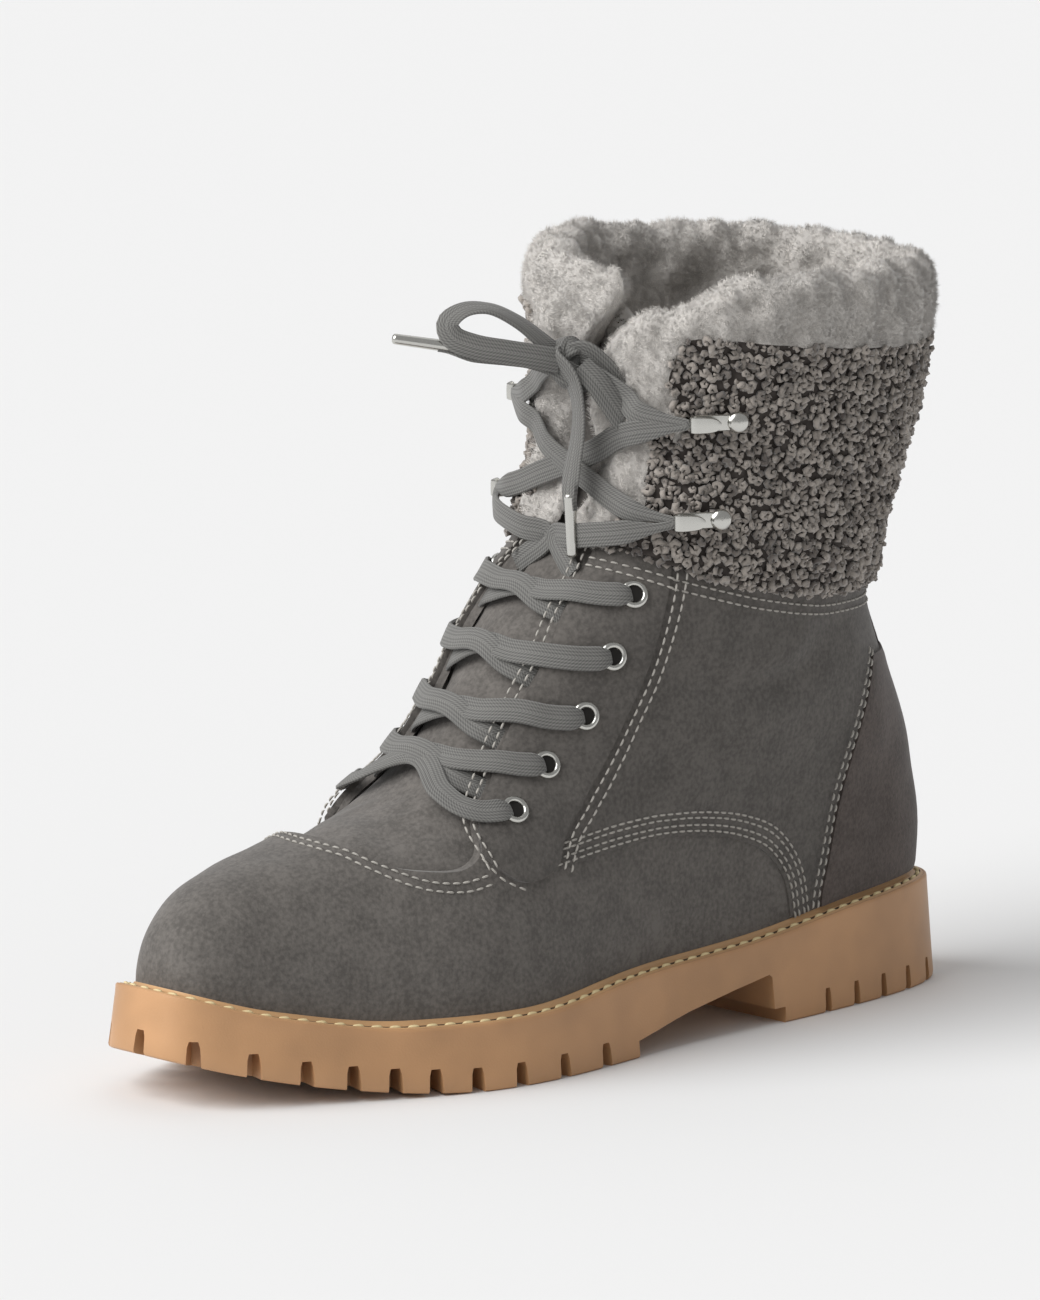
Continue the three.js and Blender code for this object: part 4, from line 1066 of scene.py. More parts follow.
# How far the band turns from lying flat to the front, along each part.
BOW_LEAN = {
    "lace_loop_left": ((0, 0.35, 0.5, 0.62, 1), (0.8, 2.4, 0.6, 0, -0.1)),
    "lace_loop_right": ((0, 0.4, 0.55, 0.7, 1), (0.5, 0.2, 0.0, 0.1, 0.2)),
    "lace_end_left": ((0, 0.5, 1), (0.2, 0.3, 0.1)),
    "lace_end_right": ((0, 0.4, 1), (0.3, 2.2, 0.6)),
}
AGLET_ROUND = 1.75


def knot_centre():
    return off_leg(np.pi - KNOT_TURN, KNOT_HEIGHT, CUFF_THICK + 3.6)


class BOOT_OT_camera(bpy.types.Operator):
    """Places the camera at three quarters from the lateral front"""

    bl_idname = "boot.camera"
    bl_label = "Camera"

    def execute(self, context):
        turn, lift = np.radians(48), np.radians(10.64)
        far, view_width = 4.0, 0.292  # metres to the boot, and across the view there
        away = Vector((np.sin(turn) * np.cos(lift), -np.cos(turn) * np.cos(lift), np.sin(lift)))
        right = Vector((np.cos(turn), np.sin(turn), 0))
        up = away.cross(right)
        aim = Vector((0, 0, 0.060)) - right * 0.0051 + up * 0.0492
        data = bpy.data.cameras.new("camera")
        data.sensor_fit, data.sensor_width = "HORIZONTAL", 36
        data.lens = data.sensor_width * far / view_width
        made = bpy.data.objects.new("camera", data)
        axes = Matrix((right, up, away)).transposed().to_4x4()
        made.matrix_world = Matrix.Translation(aim + away * far) @ axes
        context.scene.collection.objects.link(made)
        context.scene.camera = made
        return {"FINISHED"}


class BOOT_OT_bow(bpy.types.Operator):
    """Ties the bow: a knot, two loops and two ends with their metal tips"""

    bl_idname = "boot.bow"
    bl_label = "Bow"

    def execute(self, context):
        sizes = context.scene.boot_sizes
        wide, thick = sizes.lace_width / MM, sizes.lace_thick / MM
        knot = knot_centre()
        turn = np.linspace(0, 2 * np.pi, 41)[:-1]
        rings = []
        for lift in np.linspace(-1.5, 1.5, 13):
            wide_here = np.cos(lift)
            level = np.full(40, 5.4 * np.sin(lift))
            ring = (4.6 * np.cos(turn) * wide_here, 2.6 * np.sin(turn) * wide_here, level)
            rings.append(knot + np.stack(ring, -1))
        core = outward(mesh_object("core", np.vstack(rings), tube_faces(13, 40), [finishes()["lace"]]))
        core.data.uv_layers.new(name="UVMap")
        wraps = []
        for tilt, deep, tall, shift in ((0.30, 4.4, 6.4, 0.6), (-0.75, 3.6, 5.6, -1.6)):
            side = np.array([np.cos(tilt), 0, np.sin(tilt)])
            high = np.array([-np.sin(tilt), 0, np.cos(tilt)])
            spokes = np.outer(np.cos(turn), (0, -1, 0)) * deep + np.outer(np.sin(turn), high) * tall
            at = knot + side * shift + spokes
            wraps.append(ribbon("wrap", at, spokes, wide * 0.86, thick * 1.3, "lace", closed=True))
        piece(join([core, *wraps], "bow_knot"), "lace", "lace_knot")
        made = {}
        axes = np.stack([RIGHTWARD, (0, 0, 1), TOWARDS])
        for name, rows in BOW.items():
            path = along(through(knot + np.array(rows) @ axes, 16), np.linspace(0, 1, 60))
            way = np.gradient(path, axis=0)
            share = np.linspace(0, 1, 60)
            ends = name.startswith("lace_end")
            # An end is pressed narrower and thicker where its tip holds it.
            pressed = smooth((share - 0.78) / 0.2) if ends else np.zeros(60)
            breadths, heights = wide * (1 - 0.45 * pressed), thick * (1 + 0.7 * pressed)
            edge_on = unit(np.cross(way, TOWARDS))
            lean = np.interp(share, *BOW_LEAN[name])[:, None]
            made[name] = ribbon("bow_" + name[5:], path, TOWARDS + edge_on * lean, breadths, heights, "lace")
            piece(made[name], "lace", name)
            if ends:
                tip = self.aglet(path, "bow_tip_" + name[9:])
                piece(tip, "metal", "aglet_" + name[9:])
        return {"FINISHED"}

    def aglet(self, path, name):
        """A rolled metal tip over the lace's end."""
        way = path[-1] - path[-8]
        way /= np.linalg.norm(way)
        start = path[-1] - way * 4.5
        side = np.cross(way, (0, 0, 1))
        side /= np.linalg.norm(side)
        high = np.cross(side, way)
        turn = np.linspace(0, 2 * np.pi, 25)[:-1]
        spokes = np.outer(np.cos(turn), side) + np.outer(np.sin(turn), high)
        profile = (
            (0, 0.9), (0.3, 1), (1, 1.02), (1.4, 0.97), (16.6, 0.86), (17.2, 0.8), (17.6, 0.5), (17.7, 0.05),
        )
        rings = [start + way * at + AGLET_ROUND * grow * spokes for at, grow in profile]
        return outward(mesh_object(name, np.vstack(rings), tube_faces(8, 24), [finishes()["metal"]], 50))


# ---- Sole ----
BREAST, HEEL_EDGE, ARCH_FRONT, TREAD_LINE = 83.0, 78.5, 141.0, 195.0
NOTCH = {"fore": (15.1, 4.4, 6.8, 11.0), "heel": (12.8, 2.9, 7.0, 10.0)}  # pitch, breadth, height, depth
BARE_HEEL, BARE_FORE = 11.5, 5.0  # no notches this near the heel's front edge and the arch


def tread(station):
    """Height of the walking surface, which springs up towards the toe."""
    return TOE_SPRING * np.clip((station - TREAD_LINE) / (LENGTH - TREAD_LINE), 0, 1.2) ** 2


def sole_ring(inset, height, steps=130):
    """A ring of the sole's outline at an inset, its height by station."""
    share = (1 - np.cos(np.pi * np.arange(steps + 1) / steps)) / 2
    station = inset + (LENGTH - 2 * inset) * share
    lateral, medial = (
        place(centre(station) + side * sole_half(side, station, inset), station, height(station))
        for side, _ in SIDES
    )
    return np.vstack([lateral, medial[-2:0:-1]])


def feather_rings(section):
    """Rings round the sole at insets from its edge and heights over the feather line."""
    return [sole_ring(inset, lambda s, z=z: feather(s) + z) for inset, z in section]


def prism(name, outline, low=-90.0, high=90.0):
    """A side-view outline of (station, height) across the boot."""
    outline = np.asarray(outline, float)
    count = len(outline)
    points = np.vstack([place(x, outline[:, 0], outline[:, 1]) for x in (low, high)])
    return outward(mesh_object(name, points, tube_faces(2, count), [finishes()["suede"]]))


def notches(kind):
    """Tapered notches spaced evenly along the sole's edge."""
    pitch, wide, tall, deep = NOTCH[kind]
    ring = sole_ring(-SOLE_FLARE, tread, 240)
    if kind == "heel":
        ring = np.vstack([ring[240:], ring[:240]])
        ring = ring[ring[:, 1] > LENGTH / 2 - HEEL_EDGE + BARE_HEEL]
    else:
        ring = ring[ring[:, 1] < LENGTH / 2 - ARCH_FRONT - BARE_FORE]
    count = round(length_of(ring) / pitch)
    shares = (np.arange(count) + 0.5) / count
    if kind == "fore":  # wider lugs round the toe
        shares = shares + 0.018 * np.sin(4 * np.pi * (shares - 0.5))
    parts, faces = [], []
    right = ((0.5, -3), (0.5, 0), (0.42, tall * 0.75), (0.3, tall))
    corners = ((-0.5, -3), *right, (-0.3, tall), (-0.42, tall * 0.75), (-0.5, 0))
    for at, ahead in zip(along(ring, shares), along(ring, shares + 0.002)):
        way = ahead - at
        way[2] = 0
        way /= np.linalg.norm(way)
        out = np.array([-way[1], way[0], 0])
        faces += tube_faces(2, 8, len(parts) * 16)
        parts.append([at + way * wide * a + (0, 0, b) + out * far for far in (-deep, 6) for a, b in corners])
    return outward(mesh_object("notches", np.vstack(parts), faces, [finishes()["rubber"]]))


class BOOT_OT_sole(bpy.types.Operator):
    """Moulds the sole with its heel, arch and lugs, and the welt with its stitches"""

    bl_idname = "boot.sole"
    bl_label = "Sole"

    def execute(self, context):
        # The side bulges: share of its height, and inset.
        rows = ((0, -1.3), (0.02, -1.85), (0.06, -2.0), (0.3, -1.45), (0.55, -0.95), (0.8, -0.45), (1, -0.05))
        rings = [
            sole_ring(i, lambda s, q=q: tread(s) + (feather(s) - WELT_THICK - tread(s)) * q) for q, i in rows
        ]
        # Its edge stands up round the welt as a thin lip.
        lip = (
            (0.02, -1.1), (0.15, -0.6), (0.5, -0.25), (0.95, -0.2), (1.3, -0.45), (1.4, -1.2), (1.45, -2.4),
        )
        rings += feather_rings(lip)
        count = len(rings[0])
        last = (len(rings) - 1) * count
        faces = grid_faces(len(rings), count, round_columns=True) + ladder(count) + ladder(count, last, True)
        sole = outward(mesh_object("sole_unit", np.vstack(rings), faces, [finishes()["rubber"]]))
        arch = (
            (HEEL_EDGE, -5), (HEEL_EDGE, 4.6), (BREAST, 4.6), (BREAST + 0.3, 13.6), (BREAST + 1.5, 14.6),
            (100, 12.4), (118, 9.4), (132, 6.4), (ARCH_FRONT, 4.8), (ARCH_FRONT, -5),
        )
        carve(sole, prism("arch", arch))
        for kind in ("fore", "heel"):
            carve(sole, notches(kind))
        # Bars across the tread: station and half length.
        bars = [(s, 24) for s in (162, 177, 192, 207, 222, 237, 251)] + [(s, 16) for s in (26, 40, 54)]
        points, faces = [], []
        for station, half in bars:
            faces += tube_faces(2, 4, len(points))
            middle, low = float(centre(station)), float(tread(station))
            corners = ((-half, -1.7), (half, -1.7), (half, 1.7), (-half, 1.7))
            points += [place(middle + x, station + s, low + z) for z in (-3, 2.6) for x, s in corners]
        carve(sole, outward(mesh_object("bars", np.vstack(points), faces, [finishes()["rubber"]])))
        for polygon in sole.data.polygons:
            polygon.material_index = 0
        sole.data.materials.clear()
        sole.data.materials.append(finishes()["rubber"])
        sole.data.shade_smooth()
        sole.data.set_sharp_from_angle(angle=np.radians(32))
        piece(sole, "sole_rubber", "outsole")
        section = (
            (0.9, -2.3), (0.7, -1.3), (0.85, -0.5), (1.3, -0.05), (1.9, 0.05), (2.25, -0.3), (3.0, -0.35),
            (3.35, 0.05), (4.2, 0.2), (4.7, 0.55), (5.2, 1.25), (6.0, 1.3), (6.6, 0.8), (12.0, 0.0),
            (12.0, -2.3),
        )
        rings = feather_rings(section)
        faces = grid_faces(len(rings), count, round_columns=True, round_rows=True)
        welt = mesh_object("welt_rim", np.vstack(rings), faces, [finishes()["welt"], finishes()["groove"]])
        # The channel's faces take the painted shade.
        groove = range(4, 7)  # rows of the section in the channel under the stitches
        in_groove = [i // count in groove for i in range(len(faces))]
        welt.data.polygons.foreach_set("material_index", [int(g) for g in in_groove])
        outward(welt).data.set_sharp_from_angle(angle=np.radians(50))
        piece(welt, "welt", "welt")
        line = sole_ring(WELT_SEAM, lambda s: feather(s) - 0.1)
        line = np.vstack([line, line[:1]])
        edges = [(i, i + 1) for i in range(len(line) - 1)]
        shape = stitch_shape("welt_stitch", *WELT_STITCH)
        pitch = context.scene.boot_sizes.welt_pitch
        up = [(0, 0, 1)] * len(line)
        piece(stitched("welt_stitches", line.tolist(), up, edges, pitch, "welt_thread", shape), "welt")
        return {"FINISHED"}


# ---- Upper ----
def levels_to(height):
    """The highest row of the shell that stays under a height."""
    return int(np.nonzero(SHELL[:, :, 2].max(axis=1) <= height)[0][-1])


class BOOT_OT_upper(bpy.types.Operator):
    """Lasts the hollow suede upper with its fleece lining, open at collar and throat"""

    bl_idname = "boot.upper"
    bl_label = "Upper"

    def execute(self, context):
        rows = levels_to(SHAFT_TOP + 4) + 1
        outer = SHELL[:rows, :-1]
        throat = np.vstack([off_shell(*on_side(side, THROAT).T)[0] for side in (1, -1)])
        wall = THIN_WALL + (WALL - THIN_WALL) * smooth((nearest(outer, throat) - 8) / 6)
        wool = 0.7 * waves(outer, 7, 12) * smooth((wall - 3) / 3)
        inner = outer - NORMALS[:rows, :-1] * (wall + wool)[..., None]
        count = outer.shape[1]
        points = np.vstack([outer.reshape(-1, 3), inner.reshape(-1, 3)])
        size = rows * count
        faces = grid_faces(rows, count, round_columns=True)
        inside = [tuple(v + size for v in f[::-1]) for f in faces]
        rims = []
        for j in (0, rows - 1):
            for i in range(count):
                a, b = j * count + i, j * count + (i + 1) % count
                rims.append((a, b, b + size, a + size) if j else (b, a, a + size, b + size))
        both = [finishes()["suede"], finishes()["fleece"]]
        made = mesh_object("suede_upper", points, faces + inside + rims, both, 50)
        index = [0] * len(faces) + [1] * len(inside) + [0] * len(rims)
        made.data.polygons.foreach_set("material_index", index)
        outward(made)
        shape = through(THROAT, 8).tolist() + [(117.5, 260), (290, 260), (290, 69.5), (228, 74)]
        carve(made, prism("throat", shape))
        made.data.set_sharp_from_angle(angle=np.radians(50))
        piece(made, "suede", "upper")
        section = ((13.4, -2.2), (13.3, 2.2), (14.5, 3.2), (18, 3.8), (24, 4.0), (30, 3.8))
        rings = feather_rings(section)
        rings[2:] = [r + np.array([0, 0, 1]) * (0.35 * waves(r, 8, 3))[:, None] for r in rings[2:]]
        count = len(rings[0])
        faces = grid_faces(6, count, round_columns=True) + ladder(count) + ladder(count, 5 * count, True)
        sock = outward(mesh_object("fleece_insole", np.vstack(rings), faces, [finishes()["fleece"]], 60))
        piece(sock, "fleece", "insole")
        return {"FINISHED"}


def quarter_outline():
    """Turns and levels round the quarters: facings, under the cuff, and the long seam to the sole."""
    up = [on_side(side, FACING[:-1]) for side in (1, -1)]
    seams = [on_side(side, ((190, 63), (186.5, 58.5), (180, 54.5), *WING[1:])) for side in (1, -1)]
    seams = [s[s[:, 1] > 0.006] for s in seams]
    top = np.linspace(up[0][-1], up[1][-1], 60)[1:-1]
    bottom = np.linspace(seams[1][-1], seams[0][-1], 60)[1:-1]
    return np.vstack([up[0], top, up[1][::-1], seams[1][1:], bottom, seams[0][::-1][:-1]])


def eyestay_outline(side):
    """Turns and levels round the strip that holds the eyelets."""
    edge = on_side(side, FACING[:-1])
    rear = on_side(side, EYESTAY_REAR)
    foot = on_side(side, (*EYESTAY_FOOT[:-1], (189, 61.5), (190, 63)), 6)
    return np.vstack([edge, rear, foot[1:-1]])


def counter_top(height):
    """Turn and level at a height on the back seam."""
    return np.array([0.0, float(to_shell(1, [(float(back.station_at(height)), height)])[1][0])])


def counter_outline():
    """Turns and levels round the heel counter, which rises to a peak at the back."""
    sides = [on_side(side, COUNTER_FRONT) for side in (1, -1)]
    sides = [s[s[:, 1] > 0.006] for s in sides]
    peak = counter_top(101)
    arcs = []
    for s in sides:
        share = np.linspace(0, 1, 12)[1:-1, None]
        arcs.append(s[-1] + (peak - s[-1]) * share - (0, 0.012) * np.sin(np.pi * share))
    bottom = np.linspace(sides[1][0], sides[0][0], 50)[1:-1]
    return np.vstack([sides[0], arcs[0], peak[None], arcs[1][::-1], sides[1][::-1], bottom])


def backstay_outline():
    """Turns and levels round the strip from the counter to the cuff."""
    low, high = counter_top(99), counter_top(127)
    half = 0.085
    return np.array([(half, low[1]), (half * 0.9, high[1]), (-half * 0.9, high[1]), (-half, low[1])])


class BOOT_OT_panels(bpy.types.Operator):
    """Lays the quarters, eyestays, counter and backstay over the upper"""

    bl_idname = "boot.panels"
    bl_label = "Panels"

    def execute(self, context):
        # The quarters and facings take the suede darkened as painted shade.
        piece(panel("quarters", quarter_outline(), QUARTER, "shaft_suede"), "suede")
        for side, word in SIDES:
            facing = panel("facing_" + word, eyestay_outline(side), FACING_STRIP, "shaft_suede")
            piece(facing, "suede", "eyestay_" + word)
        piece(panel("backstay_strip", backstay_outline(), BACKSTAY, "dark_suede"), "dark_suede", "backstay")
        piece(panel("counter", counter_outline(), COUNTER, "dark_suede"), "dark_suede", "heel_counter")
        return {"FINISHED"}


U_SEAM = ((226, 70.5), (223.5, 67), (218.5, 63), (212, 59.5), (205, 57.2), (197, 56.6), (191, 57.5))


class BOOT_OT_seams(bpy.types.Operator):
    """Sews the double rows of running stitches"""

    bl_idname = "boot.seams"
    bl_label = "Seams"

    def execute(self, context):
        pitch = context.scene.boot_sizes.stitch_pitch
        shape = stitch_shape("stitch", *STITCH)
        middle, top = [], []
        for side in (1, -1):
            wing = on_side(side, WING)
            wing = wing[wing[:, 1] > 0.01]
            facing = on_side(side, ((186, 60), *FACING[1:-1]))
            rear = on_side(side, EYESTAY_REAR)
            foot = on_side(side, ((189, 61.5), (186, 57.5), (180, 54.5)), 6)
            middle += [beside(wing, side * gap) for gap in (1.5, 3.3, 5.6, 7.4)]
            top += [beside(facing, side * gap) for gap in (1.9, 4.4)]
            top += [beside(rear, side * gap) for gap in (1.7, 4.2)]
            top += [beside(foot, side * -1.9)]
            counter = on_side(side, COUNTER_FRONT)
            top += [beside(counter[counter[:, 1] > 0.01], side * gap) for gap in (1.8, 4.0)]
            for rows, first, last in ((middle, 24, 117.5), (top, 119, 133)):
                edge = [(s, float(cuff_edge(s)) - 1) for s in np.linspace(first, last, 8)]
                rows.extend(beside(on_side(side, edge), side * gap) for gap in (2.4, 5.0))
        halves = on_side(1, U_SEAM[::-1]), on_side(-1, U_SEAM) + (2, 0)
        # One smooth path over the ridge, where the two halves' turns are close to 1.
        kept = [halves[0][halves[0][:, 0] < 0.94][::6], halves[1][halves[1][:, 0] > 1.06][::6]]
        u_seam = through(np.vstack(kept), 8)
        low = [beside(u_seam, gap) for gap in (0.4, 3.0)]
        piece(stitch_lines("vamp_stitches", low, 0.25, pitch, "thread", shape), "suede")
        piece(stitch_lines("quarter_stitches", middle, 1.0, pitch, "thread", shape), "suede")
        piece(stitch_lines("facing_stitches", top, 2.0, pitch, "thread", shape), "suede")
        return {"FINISHED"}


class BOOT_OT_tongue(bpy.types.Operator):
    """Lays the tongue under the facings: suede below, fleece at its top"""

    bl_idname = "boot.tongue"
    bl_label = "Tongue"

    def execute(self, context):
        edge = on_side(1, THROAT[5:] + ((118.5, 190), (118, 215)))
        low = 0.232
        rows, columns = 120, 49
        across = np.linspace(-1, 1, columns)[None, :]
        share = np.linspace(0, 1, rows)[:, None]
        top = 0.94 - 0.035 * np.abs(across) ** 2.4
        level = low + (top - low) * share + 0 * across
        half = 1 - np.interp(level, edge[:, 1], edge[:, 0]) + 0.035
        half = half * (1 - 0.25 * smooth((level - 0.86) / 0.12))
        half = half + 0.06 * (1 - smooth((share - 0.12) / 0.12))
        turn = 1 - half * across
        surface, _ = off_shell(turn, level)
        folds = 0.5 * waves(surface, 16, 21) + 0.25 * waves(surface, 8, 22)
        face = -THIN_WALL - 0.9 + folds * 0.6
        outer, _ = off_shell(turn, level, face)
        inner, _ = off_shell(turn, level, face - TONGUE_THICK + 0.6)
        points = np.vstack([outer.reshape(-1, 3), inner.reshape(-1, 3)])
        size = rows * columns
        faces = grid_faces(rows, columns)
        inside = [tuple(v + size for v in f[::-1]) for f in faces]
        border = [*range(columns), *range(2 * columns - 1, size, columns)]
        border += [*range(size - 2, size - columns - 1, -1), *range(size - 2 * columns, 0, -columns)]
        rim = [(a, b, b + size, a + size) for a, b in zip(border, border[1:] + border[:1])]
        both = [finishes()["tongue"], finishes()["fleece"]]
        made = outward(mesh_object("tongue_leaf", points, faces + inside + rim, both))
        for polygon in made.data.polygons:
            woolly = polygon.center.z > WOOLLY_ABOVE * MM or polygon.index >= len(faces)
            polygon.material_index = int(woolly)
        piece(made, "tongue_suede", "tongue")
        keep = [f for f in faces if points[list(f), 2].mean() > WOOLLY_ABOVE]
        base = mesh_object("tongue_fleece", outer, keep, [finishes()["fleece"]])
        turn_out(base)
        fuzz(context, base)
        piece(base, "fleece")
        return {"FINISHED"}


def scatter(made, spacing, sizes, shape, finish):
    """Covers an object's faces with copies of a shape, in place of its own faces."""
    sizes = dict(zip(("Smallest", "Largest", "Tilt"), sizes))
    repeat(made, "scatter", {"Spacing": spacing, **sizes, "Shape": shape, "Material": finishes()[finish]})


def fuzz(context, made):
    """Covers an object's faces with tufts of shorn fleece."""
    scatter(made, context.scene.boot_sizes.tuft_gap, TUFTS, tuft_shape(), "fibre")
    mesh = made.data
    mesh.shade_smooth()
    # The fibres shade with the surface that they stand on, as dense wool does.
    outwards = np.zeros(len(mesh.vertices) * 3)
    mesh.attributes["outward"].data.foreach_get("vector", outwards)
    mesh.normals_split_custom_set_from_vertices(outwards.reshape(-1, 3).tolist())


class BOOT_OT_cuff(bpy.types.Operator):
    """Wraps the curly pelt round the shaft, its shorn fleece rolled over the rim and along the flaps"""

    bl_idname = "boot.cuff"
    bl_label = "Cuff"

    def execute(self, context):
        columns, rows, rim_row = 260, 96, 50
        limit = np.pi - FLAP_ANGLE + 0.19  # radians from the back to a flap's front edge
        falls_back, closes_round = -0.42, 0.26  # radians that each flap moves at the rim
        angles = np.linspace(-limit, limit, columns)
        grid, lows, rims = [], [], []
        for angle in angles:
            section, low, rim = cuff_points(angle)
            grid.append((np.full(rows, angle), section[:, 1], section[:, 0]))
            lows.append(low)
            rims.append(rim)
        angle, height, out = (np.stack([g[k] for g in grid], 1) for k in range(3))
        side = np.sign(angle)
        # The flaps' front edges wave in and out and close round to a soft lip.
        wave = 0.05 * np.sin(height / 9.5 + side * 0.8) + 0.035 * np.sin(height / 4.7 + 1.3 + side)
        near_edge = smooth((np.abs(angle) - limit + 0.5) / 0.5)
        # Towards the rim the lateral flap falls back and the medial one closes round behind it.
        shift = np.where(side > 0, falls_back, closes_round) * smooth((height - 187) / 26)
        shift = shift * smooth((np.abs(angle) - limit + 1.1) / 1.1)
        angle = angle + side * (wave * near_edge + shift)
        lip = (np.abs(np.linspace(-1, 1, columns)) - (1 - 10 / columns)) * columns / 10
        rounded = 1 - np.sqrt(np.clip(1 - np.clip(lip, 0, 1)[None, :] ** 2, 0, 1))
        # In front of the hooks the flap thins out to its woolly edge.
        thin = 1 - 0.5 * smooth((np.abs(angle) - limit + 0.3) / 0.22)
        out = np.where(out > 0, out * thin, out)
        out = out * (1 - rounded) + 1.2 * rounded
        points = off_leg(angle, height, out)
        from_edge = (limit - np.abs(np.linspace(-limit, limit, columns)))[None, :] * 38
        from_rim = np.array(rims)[None, :] - height
        past_rim = np.arange(rows)[:, None] >= rim_row
        ragged = 2.2 * waves(points, 11, 31) + 1.2 * waves(points, 5, 32)
        width = np.interp(height, (135, 150, 175, 200), (13, 16, 20, 20)) - 4 * (side < 0)
        band = 9.5 + 3 * smooth((np.abs(angle) - 1.2) / 1.2)  # the shorn band is narrower at the back
        light = (from_rim + 0.8 * ragged < band) | (from_edge + ragged < width) | past_rim
        normal = np.cross(np.gradient(points, axis=1), np.gradient(points, axis=0))
        normal /= np.maximum(np.linalg.norm(normal, axis=-1, keepdims=True), 1e-9)
        faces = grid_faces(rows, columns)
        if normal[30, columns // 2] @ (points[30, columns // 2] - place(0, CENTRE_STATION, 160)) < 0:
            normal, faces = -normal, [face[::-1] for face in faces]
        shorn = 0.9 * waves(points, 12, 33) + 0.45 * waves(points, 5.5, 34)
        pile = np.where(light, shorn, 0.5 * waves(points, 5, 35) - 1.2)
        points = points + normal * (pile * (1 - rounded))[..., None]
        flags = light.reshape(-1)
        pale = [flags[list(f)].mean() > 0.5 for f in faces]
        # The hide shows painted shade between the curls, and the fleece's colour under the shorn band.
        made = mesh_object("cuff_hide", points, faces, [finishes()["pelt_root"], finishes()["fleece"]])
        made.data.polygons.foreach_set("material_index", [int(p) for p in pale])
        piece(made, "pelt", "cuff")
        for name, want in (("cuff_curls", False), ("cuff_fleece", True)):
            keep = [f for f, p in zip(faces, pale) if p == want]
            part = mesh_object(name, points, keep, [])
            if want:
                fuzz(context, part)
                piece(part, "fleece")
                continue
            scatter(part, context.scene.boot_sizes.curl_gap, CURLS, curl_shape(), "pelt")
            part.data.shade_smooth()
            piece(part, "pelt")
        return {"FINISHED"}


# ---- Metal ----
def lathe(axes, profile, finish, name, sides=40):
    """A closed ring turned about the axes' outward one, from radius and height."""
    turn = np.linspace(0, 2 * np.pi, sides + 1)[:-1]
    rows = [on_frame(axes, [(r * np.cos(t), r * np.sin(t), z) for t in turn]) for r, z in profile]
    faces = grid_faces(len(profile), sides, round_columns=True, round_rows=True)
    return outward(mesh_object(name, np.vstack(rows), faces, [finishes()[finish]], 50))


class BOOT_OT_metal(bpy.types.Operator):
    """Sets the eyelets and the speed hooks"""

    bl_idname = "boot.metal"
    bl_label = "Eyelets and hooks"

    def execute(self, context):
        ring = (
            (2.35, -2.4), (2.3, 0.1), (2.5, 0.7), (2.95, 1.0), (3.5, 0.95), (3.95, 0.55), (4.15, 0),
            (4.1, -0.5), (2.9, -0.5), (2.8, -2.4),
        )
        spokes = [(2.5 * np.cos(t), 2.5 * np.sin(t)) for t in np.linspace(0, 2 * np.pi, 25)[:-1]]
        for side, word in SIDES:
            for i, row in enumerate(EYELETS):
                turn, level = to_shell(side, [row])
                at, normal = off_shell(turn, level, np.array([EYELET_SEAT]))
                axes = frame_on(at[0], normal[0], np.array([0, 0, 1.0]))
                made = lathe(axes, ring, "metal", "ring")
                # A near-black disc inside each ring is painted shade in the eyelet's hole.
                disc = on_frame(axes, [(*spoke, z) for z in (-0.35, 0.12) for spoke in spokes])
                dark = outward(mesh_object("hole", disc, tube_faces(2, 24), [finishes()["hole"]]))
                piece(join([made, dark], f"eyelet_ring_{word}_{i + 1}"), "metal", f"eyelet_{word}_{i + 1}")
            for i, row in enumerate(HOOKS):
                self.hook(side, row, f"speed_hook_{word}_{i + 1}", f"hook_{word}_{i + 1}")
        return {"FINISHED"}

    def hook(self, side, row, name, node_name):
        """A bent strap with the rivet that holds it."""
        station, height = row
        angle = leg_angle(side, station, height)
        at = off_leg(angle, height, HOOK_SEAT)
        axes = frame_on(at, at - off_leg(angle, height, 0), np.array([0, 1.0, 0]))
        bend = (
            (7.4, 0.5), (4, 0.5), (-2, 0.5), (-7, 0.6), (-8.6, 1.5), (-9, 2.8), (-8.2, 4.0), (-6.5, 4.3),
            (-3.6, 4.3), (-0.8, 4.5),
        )
        line = through(bend, 6)
        way = np.gradient(line, axis=0)
        points = on_frame(axes, [(a, 0, c) for a, c in line])
        # The face turns with the strip: up on the plate, forwards on the bend.
        _, x, _, z = axes
        face = np.array([x * -w[1] + z * w[0] for w in way])
        share = np.linspace(0, 1, len(line))
        width = 4.8 * np.sqrt(np.clip(1 - (np.abs(share - 0.5) * 2) ** 7, 0.1, 1))
        strap = ribbon("strap", points, -face, width, 0.95, "metal")
        dome = ((3.1, 0.4), (3.05, 1.0), (2.7, 1.7), (1.9, 2.2), (0.9, 2.45), (0.05, 2.5), (0.05, 0.4))
        spot = (axes[0] + axes[1] * 4.6, *axes[1:])
        rivet = lathe(spot, dome, "metal", "rivet", 24)
        piece(join([strap, rivet], name), "metal", node_name)


